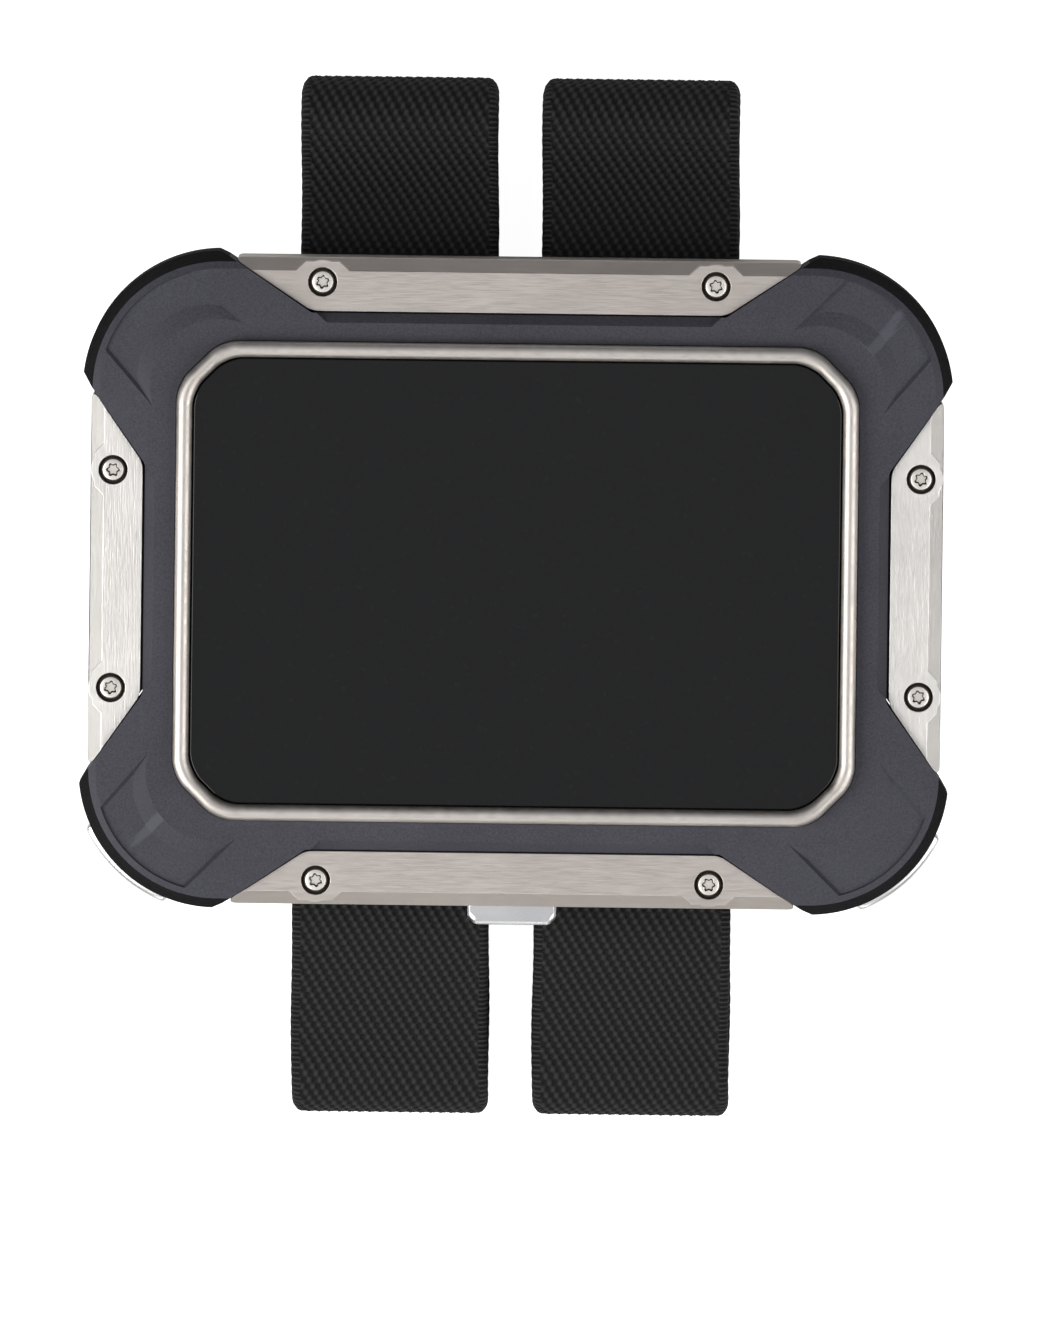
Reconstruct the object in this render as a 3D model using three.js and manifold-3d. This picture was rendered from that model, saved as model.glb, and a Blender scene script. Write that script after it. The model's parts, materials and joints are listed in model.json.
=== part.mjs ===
// A wrist dive computer lying on its back: display up (+Z), top of the display towards +Y,
// resting on the rear layers of its two elastic strap loops. Millimetres.
import * as THREE from 'three';
import { mergeVertices } from 'three/addons/utils/BufferGeometryUtils.js';
import Module from 'manifold-3d';

const wasm = await Module();
wasm.setup();

// ---- Driving dimensions -------------------------------------------------------------------

const gap = 0.3; // clearance between neighbouring pieces

// Plan of the case, measured from its centre
const ear = { x: 37.6, y: 24.1, radius: 17.55, lean: THREE.MathUtils.degToRad(47) };
const bezel = { halfX: 43.2, halfY: 30.35, width: 2.0, chamfer: 5.6, cornerRadius: 5 };
const strip = { halfX: 47.1, halfY: 33.9, cornerRadius: 9.8, chamfer: 1.4 };
const longPlate = { inner: 34.2, outer: 41.0, innerHalf: 26.4, outerHalf: 36.7, screwAt: [24.9, 37.9] };
const sidePlate = { inner: 47.4, outer: 54.0, innerHalf: 14.9, outerHalf: 24.3, screwAt: [13.8, 51.15] };
const plate = { top: 35.8, thickness: 2.2, skirt: 1.1, skirtBottom: 21, chamfer: 1.7, bossRadius: 2.8 };
const core = { halfX: 45.0, halfY: 31.8, cornerRadius: 7 }; // the housing inside the plates
const cavity = { halfX: 42.3, halfY: 29.1, cornerRadius: 10 };
const displayWindow = { halfX: 38.2, halfY: 25.2, cornerRadius: 3 };

// Heights above the table
const webbing = 2.0;
const loopTop = 17.0;
const backZ = loopTop + 0.6; // outer face of the rear cover
const coverTop = backZ + 2.4;
const coreBottom = coverTop + gap;
const blockBottom = backZ + gap;
const blockTop = plate.top - plate.thickness - gap;
const frontWallBottom = 32.6;
const shelfZ = 34.6; // the housing's front shelf, under glass and bezel
const glassBottom = 35.5;
const glassTop = 37.9;
const bezelTop = 39.0;
const stripTop = 37.2;
const earTop = 36.3;
const bumperBottom = 18.8;
const buttonZ = 27.8;

// Strap loops
const strapWidth = 25;
const strapX = 15.35;
const foldTop = 63.3; // how far the loops reach above and below the case's centre
const foldBottom = 68.7;
const foldRadius = 6.5; // outside of the fold
const slope = 7; // reach of each handle of the curve from a fold up to the case
const bar = { y: 37.2, z: 13.1, radius: 1.5, headRadius: 2.3, headHeight: 1.2 };
const lug = { bottom: 10.4, depth: 4.6, width: 3.1, outerX: 29.9 };
const overlapHalf = 15; // the sewn overlap on each rear layer

// Buttons, along their own axes
const travel = 0.7;
const capHalfHeight = 3.4;
const stem = { radius: 1.3, grooveRadius: 0.85, inside: 2.8 };
const springWire = 0.3;
const springRadius = 1.95;
const springBore = 2.6;
const sealBore = 2.1;
const seatDepth = 2.7; // wall left under each spring
const clipInset = 1.4; // from the wall's inner face to the clip's groove
const clipGroove = 0.7;
const capPocketHalf = 7.05;
const cornerCap = { half: 6.75, back: 13.6, proud: 0.75 };
const centreCap = { half: 5.7, back: 37.9, shoulder: 42.5, face: 43.5, corner: 1, opening: 6.0 };

// Screws: bore in the piece below, counterbore in the piece held
const screw = {
  headRadius: 1.5,
  headHeight: 0.9,
  shankRadius: 0.8,
  bore: 1.1,
  seatBore: 1.85,
  seatDepth: 1.2,
};

// Insides
const board = { halfX: 38, halfY: 25, cornerRadius: 8, bottom: 24.9, top: 25.9 };
const cell = { halfX: 29, halfY: 20, cornerRadius: 2.5, edge: 0.6 };
const can = { x: -24, halfX: 11, halfY: 8, cornerRadius: 1, top: 28.4 };
const motor = { x: -24, y: 15, radius: 4, top: 29 };
const sounder = { x: 24, y: 15, radius: 4.5, top: 28.6 };
const sensor = { x: 36, radius: 3.0, capRadius: 3.9, capHeight: 1 };
const sensorHoles = { count: 5, radius: 0.5, circle: 2.1 };
const charge = { x: -36, y: 3, radius: 1.1 };
const cable = { halfWidth: 7, thickness: 0.3, top: 29.6, bend: 1.55, bendX: 8, endTop: 16, endBoard: 13 };
const rearScrewAt = [41.1, 27.9];

// ---- Finishes -----------------------------------------------------------------------------

const finish = (color, roughness, metalness = 0) =>
  new THREE.MeshStandardMaterial({ color, roughness, metalness });
const rubber = finish('#4e4e55', 0.85);
const titanium = finish('#c9c4be', 0.38, 1);
const polishedSteel = finish('#d9d9dc', 0.12, 1);
const steel = finish('#b9b6b0', 0.3, 1);
const glassBlack = finish('#202022', 0.05);
const moulding = finish('#2a2a2d', 0.6);
const webbingBlack = finish('#141416', 0.9);
const sealBlack = finish('#101012', 0.7);
const boardGreen = finish('#1f5a3a', 0.6);
const panelBlack = finish('#0c0c0e', 0.3);
const cellSilver = finish('#a9adb2', 0.45, 0.6);
const gold = finish('#cfa752', 0.3, 1);

// ---- Shape helpers ------------------------------------------------------------------------

// A closed geometry as a solid that can be joined and cut
function solid(geometry) {
  const bare = geometry.clone();
  bare.deleteAttribute('normal');
  bare.deleteAttribute('uv');
  const merged = mergeVertices(bare, 1e-4);
  const mesh = new wasm.Mesh({
    numProp: 3,
    vertProperties: new Float32Array(merged.attributes.position.array),
    triVerts: new Uint32Array(merged.index.array),
  });
  return new wasm.Manifold(mesh);
}

function geometryOf(body) {
  const mesh = body.getMesh();
  const geometry = new THREE.BufferGeometry();
  geometry.setAttribute('position', new THREE.BufferAttribute(mesh.vertProperties, 3));
  geometry.setIndex(new THREE.BufferAttribute(mesh.triVerts, 1));
  return geometry;
}

// An outline with rounded corners; a corner's third number is a radius of its own
function rounded(corners, radius, steps = 4) {
  const points = corners.flatMap(([x, y, own], i) => {
    const corner = new THREE.Vector2(x, y);
    const r = own ?? radius;
    if (r === 0) return [corner];
    const [before, after] = [corners.at(i - 1), corners[(i + 1) % corners.length]]
      .map((p) => new THREE.Vector2(p[0], p[1]).sub(corner).normalize());
    const half = Math.acos(THREE.MathUtils.clamp(before.dot(after), -1, 1)) / 2;
    const centre = before.clone().add(after).normalize().multiplyScalar(r / Math.sin(half)).add(corner);
    const start = before.clone().multiplyScalar(r / Math.tan(half)).add(corner).sub(centre);
    const turn = (Math.PI - 2 * half) * Math.sign(after.cross(before));
    return Array.from({ length: steps + 1 }, (_, k) =>
      start.clone().rotateAround(new THREE.Vector2(), (turn * k) / steps).add(centre));
  });
  return new THREE.Shape(points);
}

const rectangle = (halfX, halfY, radius, steps) =>
  rounded([[halfX, -halfY], [halfX, halfY], [-halfX, halfY], [-halfX, -halfY]], radius, steps);

// A rectangle with its corners cut at 45 degrees, as the bezel and the glass have
const cutRectangle = (halfX, halfY, cut, radius) =>
  rounded([[1, -1], [1, 1], [-1, 1], [-1, -1]].flatMap(([sx, sy]) => {
    const ends = [[sx * halfX, sy * (halfY - cut)], [sx * (halfX - cut), sy * halfY]];
    return sx * sy > 0 ? ends : ends.reverse();
  }), radius, 3);

// A full outline from the points of its upper right quarter, X axis first
function mirrored(quarter) {
  const flipped = (sx, sy) => quarter.map((p) => new THREE.Vector2(sx * p.x, sy * p.y));
  return new THREE.Shape([
    ...flipped(1, 1),
    ...flipped(-1, 1).reverse(),
    ...flipped(-1, -1),
    ...flipped(1, -1).reverse(),
  ]);
}

// A plan extruded between two heights; edge is [width, height, segments] of its bevels
function prism(plan, bottom, top, edge) {
  const [width, height, segments] = edge ?? [0, 0, 1];
  const options = {
    depth: top - bottom - 2 * height,
    curveSegments: 8,
    bevelEnabled: Boolean(edge),
    bevelSize: width,
    bevelOffset: -width,
    bevelThickness: height,
    bevelSegments: segments,
  };
  return new THREE.ExtrudeGeometry(plan, options).translate(0, 0, bottom + height);
}

function withHole(plan, hole) {
  plan.holes.push(new THREE.Path(hole.getPoints(8)));
  return plan;
}

const block = (x0, x1, y0, y1, z0, z1) =>
  new THREE.BoxGeometry(x1 - x0, y1 - y0, z1 - z0)
    .translate((x0 + x1) / 2, (y0 + y1) / 2, (z0 + z1) / 2);

// A round piece on the Z axis between two heights
const disc = (radius, bottom, top, sides = 16) =>
  new THREE.CylinderGeometry(radius, radius, top - bottom, sides)
    .rotateX(Math.PI / 2)
    .translate(0, 0, (bottom + top) / 2);

// A piece turned about the Y axis, from the radii and places along it
const turned = (profile, sides = 16) =>
  new THREE.LatheGeometry(profile.map(([r, y]) => new THREE.Vector2(r, y)), sides);

const joined = (...bodies) => bodies.reduce((a, b) => a.add(b));

const part = new THREE.Group();
// The loops hang lower than they rise, so the case sits above the middle of the whole
const assembly = new THREE.Group();
assembly.position.y = (foldBottom - foldTop) / 2;
part.add(assembly);

function place(name, shape, material, parent = assembly) {
  const geometry = shape instanceof wasm.Manifold ? geometryOf(shape) : shape;
  const mesh = new THREE.Mesh(geometry, material);
  mesh.name = name;
  parent.add(mesh);
  return mesh;
}

// ---- Plans --------------------------------------------------------------------------------

// Half-length of a plate's slanted outline at a distance from the case's centre line
const plateHalf = (p, at) =>
  p.innerHalf + ((at - p.inner) * (p.outerHalf - p.innerHalf)) / (p.outer - p.inner);

function bumperPlan() {
  const start = Math.atan2(26.1 - ear.y, ear.radius);
  const end = Math.PI / 2 - 0.026;
  const steps = 14;
  const rim = Array.from({ length: steps + 1 }, (_, k) => {
    const angle = start + ((end - start) * k) / steps;
    return new THREE.Vector2(ear.x + ear.radius * Math.cos(angle), ear.y + ear.radius * Math.sin(angle));
  });
  const [shoulderX, shoulderY] = [sidePlate.outer - 0.1, longPlate.outer - 0.6];
  return mirrored([
    new THREE.Vector2(strip.halfX, plateHalf(sidePlate, strip.halfX)),
    new THREE.Vector2(shoulderX, plateHalf(sidePlate, shoulderX)),
    ...rim,
    new THREE.Vector2(plateHalf(longPlate, shoulderY), shoulderY),
    new THREE.Vector2(plateHalf(longPlate, strip.halfY), strip.halfY),
  ]);
}

// The core and the blocks that carry the plates, grown by a clearance
function housingPlan(grow) {
  const reachX = sidePlate.outer - plate.skirt - gap + grow;
  const reachY = longPlate.outer - plate.skirt - gap + grow;
  const [edgeX, edgeY] = [core.halfX + grow, core.halfY + grow];
  const endGap = 1.4 * gap - 1.2 * grow;
  const centre = new THREE.Vector2(core.halfX - core.cornerRadius, core.halfY - core.cornerRadius);
  const corner = Array.from({ length: 7 }, (_, k) =>
    new THREE.Vector2(core.cornerRadius + grow, 0)
      .rotateAround(new THREE.Vector2(), (k * Math.PI) / 12)
      .add(centre));
  return mirrored([
    new THREE.Vector2(reachX, plateHalf(sidePlate, reachX) - endGap),
    new THREE.Vector2(edgeX, plateHalf(sidePlate, edgeX) - endGap),
    ...corner,
    new THREE.Vector2(plateHalf(longPlate, edgeY) - endGap, edgeY),
    new THREE.Vector2(plateHalf(longPlate, reachY) - endGap, reachY),
  ]);
}

const corePlan = (grow = 0) =>
  rectangle(core.halfX + grow, core.halfY + grow, core.cornerRadius + grow, 6);
const bezelPlan = (inset) =>
  cutRectangle(bezel.halfX - inset, bezel.halfY - inset, bezel.chamfer - 0.58 * inset, bezel.cornerRadius);

// ---- Buttons ------------------------------------------------------------------------------

// Each button works in a frame of its own, with Y pointing out along its axis and the wall's
// inner face at a known distance from the frame's origin
const cornerButton = (name, side) => ({
  name,
  turn: -side * (Math.PI / 2 + ear.lean),
  origin: [side * ear.x, -ear.y],
  wallInner: 2.8,
  capBack: cornerCap.back,
  pocket: [capPocketHalf, ear.radius + 2],
  capPlan: cornerCapPlan(),
});

function cornerCapPlan() {
  const { half, back } = cornerCap;
  const face = ear.radius + cornerCap.proud;
  const spread = Math.asin(half / face);
  const outline = new THREE.Shape();
  outline.moveTo(-half, back);
  outline.lineTo(half, back);
  outline.absarc(0, 0, face, Math.PI / 2 - spread, Math.PI / 2 + spread, false);
  return outline;
}

function centreCapPlan() {
  const { half, back, shoulder, face, corner } = centreCap;
  const right = [[half, back], [half, shoulder], [half - corner, face]];
  const left = right.map(([x, y]) => [-x, y]).reverse();
  return rounded([...right, ...left], 0);
}

const buttons = [
  cornerButton('left', -1),
  {
    name: 'centre',
    turn: Math.PI,
    origin: [0, 0],
    wallInner: cavity.halfY,
    capBack: centreCap.back,
    pocket: [centreCap.opening, centreCap.face + 2],
    capPlan: centreCapPlan(),
  },
  cornerButton('right', 1),
];

const buttonFrame = (button) =>
  new THREE.Matrix4().makeRotationZ(button.turn).setPosition(button.origin[0], button.origin[1], buttonZ);

// What is cut for a button: the cap's pocket, the spring's bore and the seal's bore
function buttonCut(button) {
  const [pocketHalf, pocketEnd] = button.pocket;
  const floor = button.capBack - travel - gap;
  const seat = button.wallInner + seatDepth;
  const height = capHalfHeight + gap;
  const profile = [
    [0, button.wallInner - 4],
    [sealBore, button.wallInner - 4],
    [sealBore, seat],
    [springBore, seat],
    [springBore, floor + 0.5],
    [0, floor + 0.5],
  ];
  const cut = joined(
    solid(block(-pocketHalf, pocketHalf, floor, pocketEnd, -height, height)),
    solid(turned(profile)),
  );
  return cut.transform(buttonFrame(button).elements);
}

function makeButton(button) {
  const group = new THREE.Group();
  group.applyMatrix4(buttonFrame(button));
  assembly.add(group);
  const end = button.wallInner - stem.inside;
  const clipAt = button.wallInner - clipInset;
  const stemProfile = [
    [0, end],
    [stem.radius, end],
    [stem.radius, clipAt],
    [stem.grooveRadius, clipAt],
    [stem.grooveRadius, clipAt + clipGroove],
    [stem.radius, clipAt + clipGroove],
    [stem.radius, button.capBack + 1],
    [0, button.capBack + 1],
  ];
  const cap = solid(prism(button.capPlan, -capHalfHeight, capHalfHeight, [0.4, 0.4, 1]));
  place(`button_cap_${button.name}`, cap.add(solid(turned(stemProfile, 14))), polishedSteel, group);

  const seat = button.wallInner + seatDepth;
  place(`button_spring_${button.name}`, coil(seat + 0.5, button.capBack - 0.5), steel, group);

  const sealAt = button.wallInner + seatDepth / 2;
  place(`button_seal_${button.name}`, ringOnY(1.7, 0.3, sealAt), sealBlack, group);
  place(`button_clip_${button.name}`, clip(clipAt + 0.1, clipAt + clipGroove - 0.1), steel, group);

  const face = end - travel - 0.1;
  const [switchHalf, switchDepth, switchHeight] = [2.2, 2.2, 3.2];
  const tact = joined(
    solid(block(-switchHalf, switchHalf, face - 0.5 - switchDepth, face - 0.5,
      board.top + gap - buttonZ, board.top + gap - buttonZ + switchHeight)),
    solid(turned([[0, face - 1], [0.8, face - 1], [0.8, face], [0, face]], 10)),
  );
  place(`button_switch_${button.name}`, tact, moulding, group);
}

class Helix extends THREE.Curve {
  constructor(radius, from, to, turns) {
    super();
    Object.assign(this, { radius, from, to, turns });
  }

  getPoint(t, target = new THREE.Vector3()) {
    const angle = 2 * Math.PI * this.turns * t;
    const along = THREE.MathUtils.lerp(this.from, this.to, t);
    return target.set(this.radius * Math.cos(angle), along, this.radius * Math.sin(angle));
  }
}

function coil(from, to) {
  const wire = rectangle(springWire, springWire, 0);
  const turns = 3;
  const path = new Helix(springRadius, from, to, turns);
  return new THREE.ExtrudeGeometry(wire, {
    steps: turns * 8,
    extrudePath: path,
  });
}

// A round seal about the Y axis
function ringOnY(radius, section, at) {
  return new THREE.TorusGeometry(radius, section, 4, 12).rotateX(Math.PI / 2).translate(0, at, 0);
}

// An open retaining clip in the stem's groove
function clip(from, to) {
  const outline = new THREE.Shape();
  const [start, finishAt] = [Math.PI * 0.15, Math.PI * 1.85];
  outline.absarc(0, 0, springBore, start, finishAt, false);
  outline.absarc(0, 0, stem.grooveRadius + 0.2, finishAt, start, true);
  return prism(outline, from, to).rotateX(-Math.PI / 2);
}

// ---- Case shells --------------------------------------------------------------------------

function makeHousing(buttonCuts) {
  const corner = cavity.cornerRadius;
  const blocks = solid(prism(housingPlan(0), blockBottom, blockTop))
    .subtract(solid(prism(corePlan(), 0, coreBottom)));
  const lugs = [-1, 1].flatMap((side) => [-lug.outerX, 0, lug.outerX].map((x) =>
    solid(block(x - lug.width / 2, x + lug.width / 2,
      side * bar.y - lug.depth / 2, side * bar.y + lug.depth / 2, lug.bottom, blockBottom + 0.5))));
  const barBores = [-1, 1].map((side) =>
    solid(new THREE.CylinderGeometry(bar.radius + gap, bar.radius + gap, 80, 16)
      .rotateZ(Math.PI / 2)
      .translate(0, side * bar.y, bar.z)));
  const screwBores = plateScrews.map(({ x, y }) =>
    solid(disc(screw.bore, blockTop - 6, blockTop + 1, 10).translate(x, y, 0)));
  const coverBores = rearScrews.map(([x, y]) =>
    solid(disc(screw.bore, coreBottom - 1, coreBottom + 3, 10).translate(x, y, 0)));
  const cuts = [
    solid(prism(rectangle(cavity.halfX, cavity.halfY, corner, 6), coreBottom - 1, frontWallBottom)),
    solid(prism(rectangle(displayWindow.halfX, displayWindow.halfY, displayWindow.cornerRadius), 30, 40)),
    ...barBores,
    ...screwBores,
    ...coverBores,
    ...buttonCuts,
  ];
  const whole = joined(blocks, solid(prism(corePlan(), coreBottom, shelfZ)), ...lugs);
  place('housing', cuts.reduce((body, cut) => body.subtract(cut), whole), moulding);
}

// The rubber guard: four ears and the frame round the bezel, in one moulding
function makeBumper(buttonCuts) {
  const ears = solid(prism(bumperPlan(), bumperBottom, earTop, [1.2, 1.6, 1]));
  const frame = solid(prism(
    rectangle(strip.halfX, strip.halfY, strip.cornerRadius, 8),
    bumperBottom + 4, stripTop, [strip.chamfer, 1.1, 1],
  ));
  const cuts = [
    solid(prism(housingPlan(gap), 0, blockTop + gap)),
    solid(prism(corePlan(gap), 0, shelfZ + gap)),
    solid(prism(bezelPlan(-gap), 20, 50)),
    ...buttonCuts,
  ];
  place('bumper', cuts.reduce((body, cut) => body.subtract(cut), ears.add(frame)), rubber);
}

function makeRearCover() {
  const plan = rectangle(core.halfX - gap, core.halfY - gap, core.cornerRadius - gap, 6);
  const lip = withHole(
    rectangle(cavity.halfX - 1.5, cavity.halfY - 1.5, cavity.cornerRadius - 1.5, 6),
    rectangle(cavity.halfX - 3, cavity.halfY - 3, cavity.cornerRadius - 3, 6),
  );
  const cuts = [
    ...rearScrews.flatMap(([x, y]) => [
      solid(disc(screw.bore, backZ - 1, coverTop + 1, 10).translate(x, y, 0)),
      solid(disc(screw.seatBore, backZ - 1, backZ + screw.seatDepth, 16).translate(x, y, 0)),
    ]),
    solid(disc(sensor.radius + gap, backZ - 1, coverTop + 1).translate(sensor.x, 0, 0)),
    solid(disc(sensor.capRadius + gap, backZ - 1, backZ + sensor.capHeight + gap).translate(sensor.x, 0, 0)),
    ...chargePins.map(([x, y]) =>
      solid(disc(charge.radius + gap, backZ - 1, coverTop + 1, 12).translate(x, y, 0))),
  ];
  const whole = solid(prism(plan, backZ, coverTop, [0.6, 0.6, 1]))
    .add(solid(prism(lip, coverTop - 0.8, coverTop + 1.6)));
  place('rear_cover', cuts.reduce((body, cut) => body.subtract(cut), whole), moulding);

  const oRing = withHole(
    rectangle(cavity.halfX - gap, cavity.halfY - gap, cavity.cornerRadius - gap, 6),
    rectangle(cavity.halfX - 1.2, cavity.halfY - 1.2, cavity.cornerRadius - 1.2, 6),
  );
  place('rear_gasket', prism(oRing, coverTop + gap, coverTop + gap + 0.9), sealBlack);
}

// ---- Plates and screws --------------------------------------------------------------------

// A plate drawn for the top edge, with its length along X; the button's opening is optional
function makePlate(name, p, turn, opening) {
  const end = 1.4 * gap;
  const [near, far] = [p.innerHalf - end, p.outerHalf - end];
  const plan = rounded([
    [far, p.outer, 0.6],
    [-far, p.outer, 0.6],
    [-near, p.inner, 0.8],
    [near, p.inner, 0.8],
  ], 0, 2);
  const edge = plate.chamfer * Math.SQRT2;
  const bosses = [-1, 1].map((side) =>
    solid(disc(plate.bossRadius, 20, 40, 24).translate(side * p.screwAt[0], p.screwAt[1], 0)));
  const chamfer = bosses.reduce((cut, boss) => cut.subtract(boss),
    solid(new THREE.BoxGeometry(100, edge, edge).rotateX(Math.PI / 4).translate(0, p.outer, plate.top)));
  const cuts = [
    chamfer,
    solid(block(-60, 60, p.inner - 5, p.outer - plate.skirt, 0, plate.top - plate.thickness)),
    ...[-1, 1].flatMap((side) =>
      [[screw.bore, plate.skirtBottom], [screw.seatBore, plate.top - screw.seatDepth]].map(([radius, from]) =>
        solid(disc(radius, from, plate.top + 1, 16).translate(side * p.screwAt[0], p.screwAt[1], 0)))),
  ];
  if (opening) {
    const height = capHalfHeight + gap;
    cuts.push(solid(block(-opening, opening, p.outer - 3, p.outer + 3, buttonZ - height, buttonZ + height)));
  }
  const blank = solid(prism(plan, plate.skirtBottom, plate.top));
  const body = cuts.reduce((whole, cut) => whole.subtract(cut), blank);
  place(name, geometryOf(body).rotateZ(turn), titanium);
}

// A screw with a six-lobed socket, its head up on the Z axis and its seat at height zero
function torxScrew(headRadius, headHeight, shankRadius, length) {
  const body = solid(turned([
    [0, -length],
    [shankRadius, -length],
    [shankRadius, 0],
    [headRadius, 0],
    [headRadius, headHeight - 0.2],
    [headRadius - 0.2, headHeight],
    [0, headHeight],
  ], 12).rotateX(Math.PI / 2));
  const lobes = Array.from({ length: 12 }, (_, k) => {
    const angle = (k * Math.PI) / 6;
    return new THREE.Vector2(headRadius * (0.5 + 0.09 * Math.cos(6 * angle)), 0)
      .rotateAround(new THREE.Vector2(), angle);
  });
  return geometryOf(body.subtract(solid(prism(new THREE.Shape(lobes), headHeight - 0.6, headHeight + 1))));
}

const plateScrews = [-1, 1].flatMap((sy) => [-1, 1].flatMap((sx) => [
  { x: sx * longPlate.screwAt[0], y: sy * longPlate.screwAt[1] },
  { x: sx * sidePlate.screwAt[1], y: sy * sidePlate.screwAt[0] },
]));
const rearScrews = [[1, 1], [-1, 1], [-1, -1], [1, -1]]
  .map(([sx, sy]) => [sx * rearScrewAt[0], sy * rearScrewAt[1]]);

function makeScrews() {
  const headIn = screw.seatDepth - 0.1;
  const make = (length) => torxScrew(screw.headRadius, screw.headHeight, screw.shankRadius, length);
  plateScrews.forEach(({ x, y }, i) =>
    place(`plate_screw_${i + 1}`, make(6).translate(x, y, plate.top - headIn), steel));
  rearScrews.forEach(([x, y], i) =>
    place(`rear_screw_${i + 1}`, make(3.6).rotateX(Math.PI).translate(x, y, backZ + headIn), steel));
}

// ---- Display ------------------------------------------------------------------------------

function makeDisplay() {
  const ring = withHole(bezelPlan(0), bezelPlan(bezel.width));
  place('bezel_ring', prism(ring, shelfZ + gap, bezelTop, [0.8, 0.8, 2]), titanium);
  const pane = prism(bezelPlan(bezel.width + gap), glassBottom, glassTop, [0.4, 0.4, 1]);
  place('display_glass', pane, glassBlack);
  const gasket = withHole(bezelPlan(bezel.width + 0.6), bezelPlan(bezel.width + 2));
  place('glass_gasket', prism(gasket, shelfZ + gap, glassBottom - gap), sealBlack);
  const panelHalf = [displayWindow.halfX - gap - 0.1, displayWindow.halfY - gap - 0.1];
  place('display_panel', prism(rectangle(...panelHalf, 2), 31.5, 34.3), panelBlack);
  const frame = withHole(rectangle(cavity.halfX - 0.8, cavity.halfY - 0.8, 9.2, 5), rectangle(30, 18, 4));
  place('display_frame', prism(frame, 30.6, 31.2), moulding);
  // The flat cable runs from the display round to the board
  const { top, bend, bendX, endTop, endBoard, thickness, halfWidth } = cable;
  const inner = bend - thickness;
  const flex = new THREE.Shape();
  flex.moveTo(endTop, top);
  flex.lineTo(bendX, top);
  flex.absarc(bendX, top - bend, bend, Math.PI / 2, 1.5 * Math.PI, false);
  flex.lineTo(endBoard, top - 2 * bend);
  flex.lineTo(endBoard, top - bend - inner);
  flex.lineTo(bendX, top - bend - inner);
  flex.absarc(bendX, top - bend, inner, 1.5 * Math.PI, Math.PI / 2, true);
  flex.lineTo(endTop, top - thickness);
  place('display_flex', prism(flex, -halfWidth, halfWidth).rotateX(Math.PI / 2).rotateZ(Math.PI / 2), gold);
}

// ---- Insides ------------------------------------------------------------------------------

const chargePins = [[charge.x, -charge.y], [charge.x, charge.y]];

function makeInsides() {
  const over = board.top + gap;
  const under = board.bottom - gap;
  const boardPlan = rectangle(board.halfX, board.halfY, board.cornerRadius);
  place('main_board', prism(boardPlan, board.bottom, board.top), boardGreen);
  place('battery', prism(rectangle(cell.halfX, cell.halfY, cell.cornerRadius), coverTop + 0.6, under,
    [cell.edge, cell.edge, 1]), cellSilver);
  place('shield_can', prism(rectangle(can.halfX, can.halfY, can.cornerRadius), over, can.top)
    .translate(can.x, 0, 0), cellSilver);
  place('vibration_motor', disc(motor.radius, over, motor.top, 20).translate(motor.x, motor.y, 0), steel);
  place('beeper', disc(sounder.radius, over, sounder.top, 20).translate(sounder.x, sounder.y, 0), moulding);
  const sensorBottom = backZ + sensor.capHeight + 0.5;
  place('depth_sensor', disc(sensor.radius, sensorBottom, under, 20).translate(sensor.x, 0, 0), steel);
  const port = solid(disc(sensor.capRadius, backZ, backZ + sensor.capHeight, 20));
  const { count, radius, circle } = sensorHoles;
  const holes = Array.from({ length: count }, (_, k) => {
    const angle = (k * 2 * Math.PI) / count;
    const [x, y] = [circle * Math.cos(angle), circle * Math.sin(angle)];
    return solid(disc(radius, backZ - 1, coverTop, 8).translate(x, y, 0));
  });
  const cap = holes.reduce((body, hole) => body.subtract(hole), port);
  place('sensor_cap', geometryOf(cap).translate(sensor.x, 0, 0), titanium);
  chargePins.forEach(([x, y], i) =>
    place(`charge_pin_${i + 1}`, disc(charge.radius, backZ, under, 14).translate(x, y, 0), gold));
}

// ---- Straps -------------------------------------------------------------------------------

// The middle of the webbing, as it runs round one loop in the Y-Z plane
function loopPath() {
  const half = webbing / 2;
  const bend = foldRadius - half;
  const path = new THREE.Path();
  const top = loopTop - half;
  const foldMiddle = [foldTop - foldRadius, -foldBottom + foldRadius];
  const levelTo = bar.y + 3;
  path.moveTo(0, half);
  path.lineTo(foldMiddle[0], half);
  path.absarc(foldMiddle[0], foldRadius, bend, -Math.PI / 2, Math.PI / 2, false);
  path.bezierCurveTo(foldMiddle[0] - slope, foldRadius + bend, levelTo + slope, top, levelTo, top);
  path.lineTo(-levelTo, top);
  path.bezierCurveTo(-levelTo - slope, top, foldMiddle[1] + slope, foldRadius + bend,
    foldMiddle[1], foldRadius + bend);
  path.absarc(foldMiddle[1], foldRadius, bend, Math.PI / 2, 1.5 * Math.PI, false);
  path.lineTo(-0.01, half);
  return path;
}

// One face of the webbing, a distance outside (or inside) its middle
function loopFace(outside) {
  const middle = loopPath().getPoints(10);
  return middle.map((point, i) => {
    const [before, after] = [middle.at(i - 1), middle[(i + 1) % middle.length]];
    const along = after.clone().sub(before).normalize();
    return new THREE.Vector2(point.x + along.y * outside, point.y - along.x * outside);
  });
}

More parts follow.
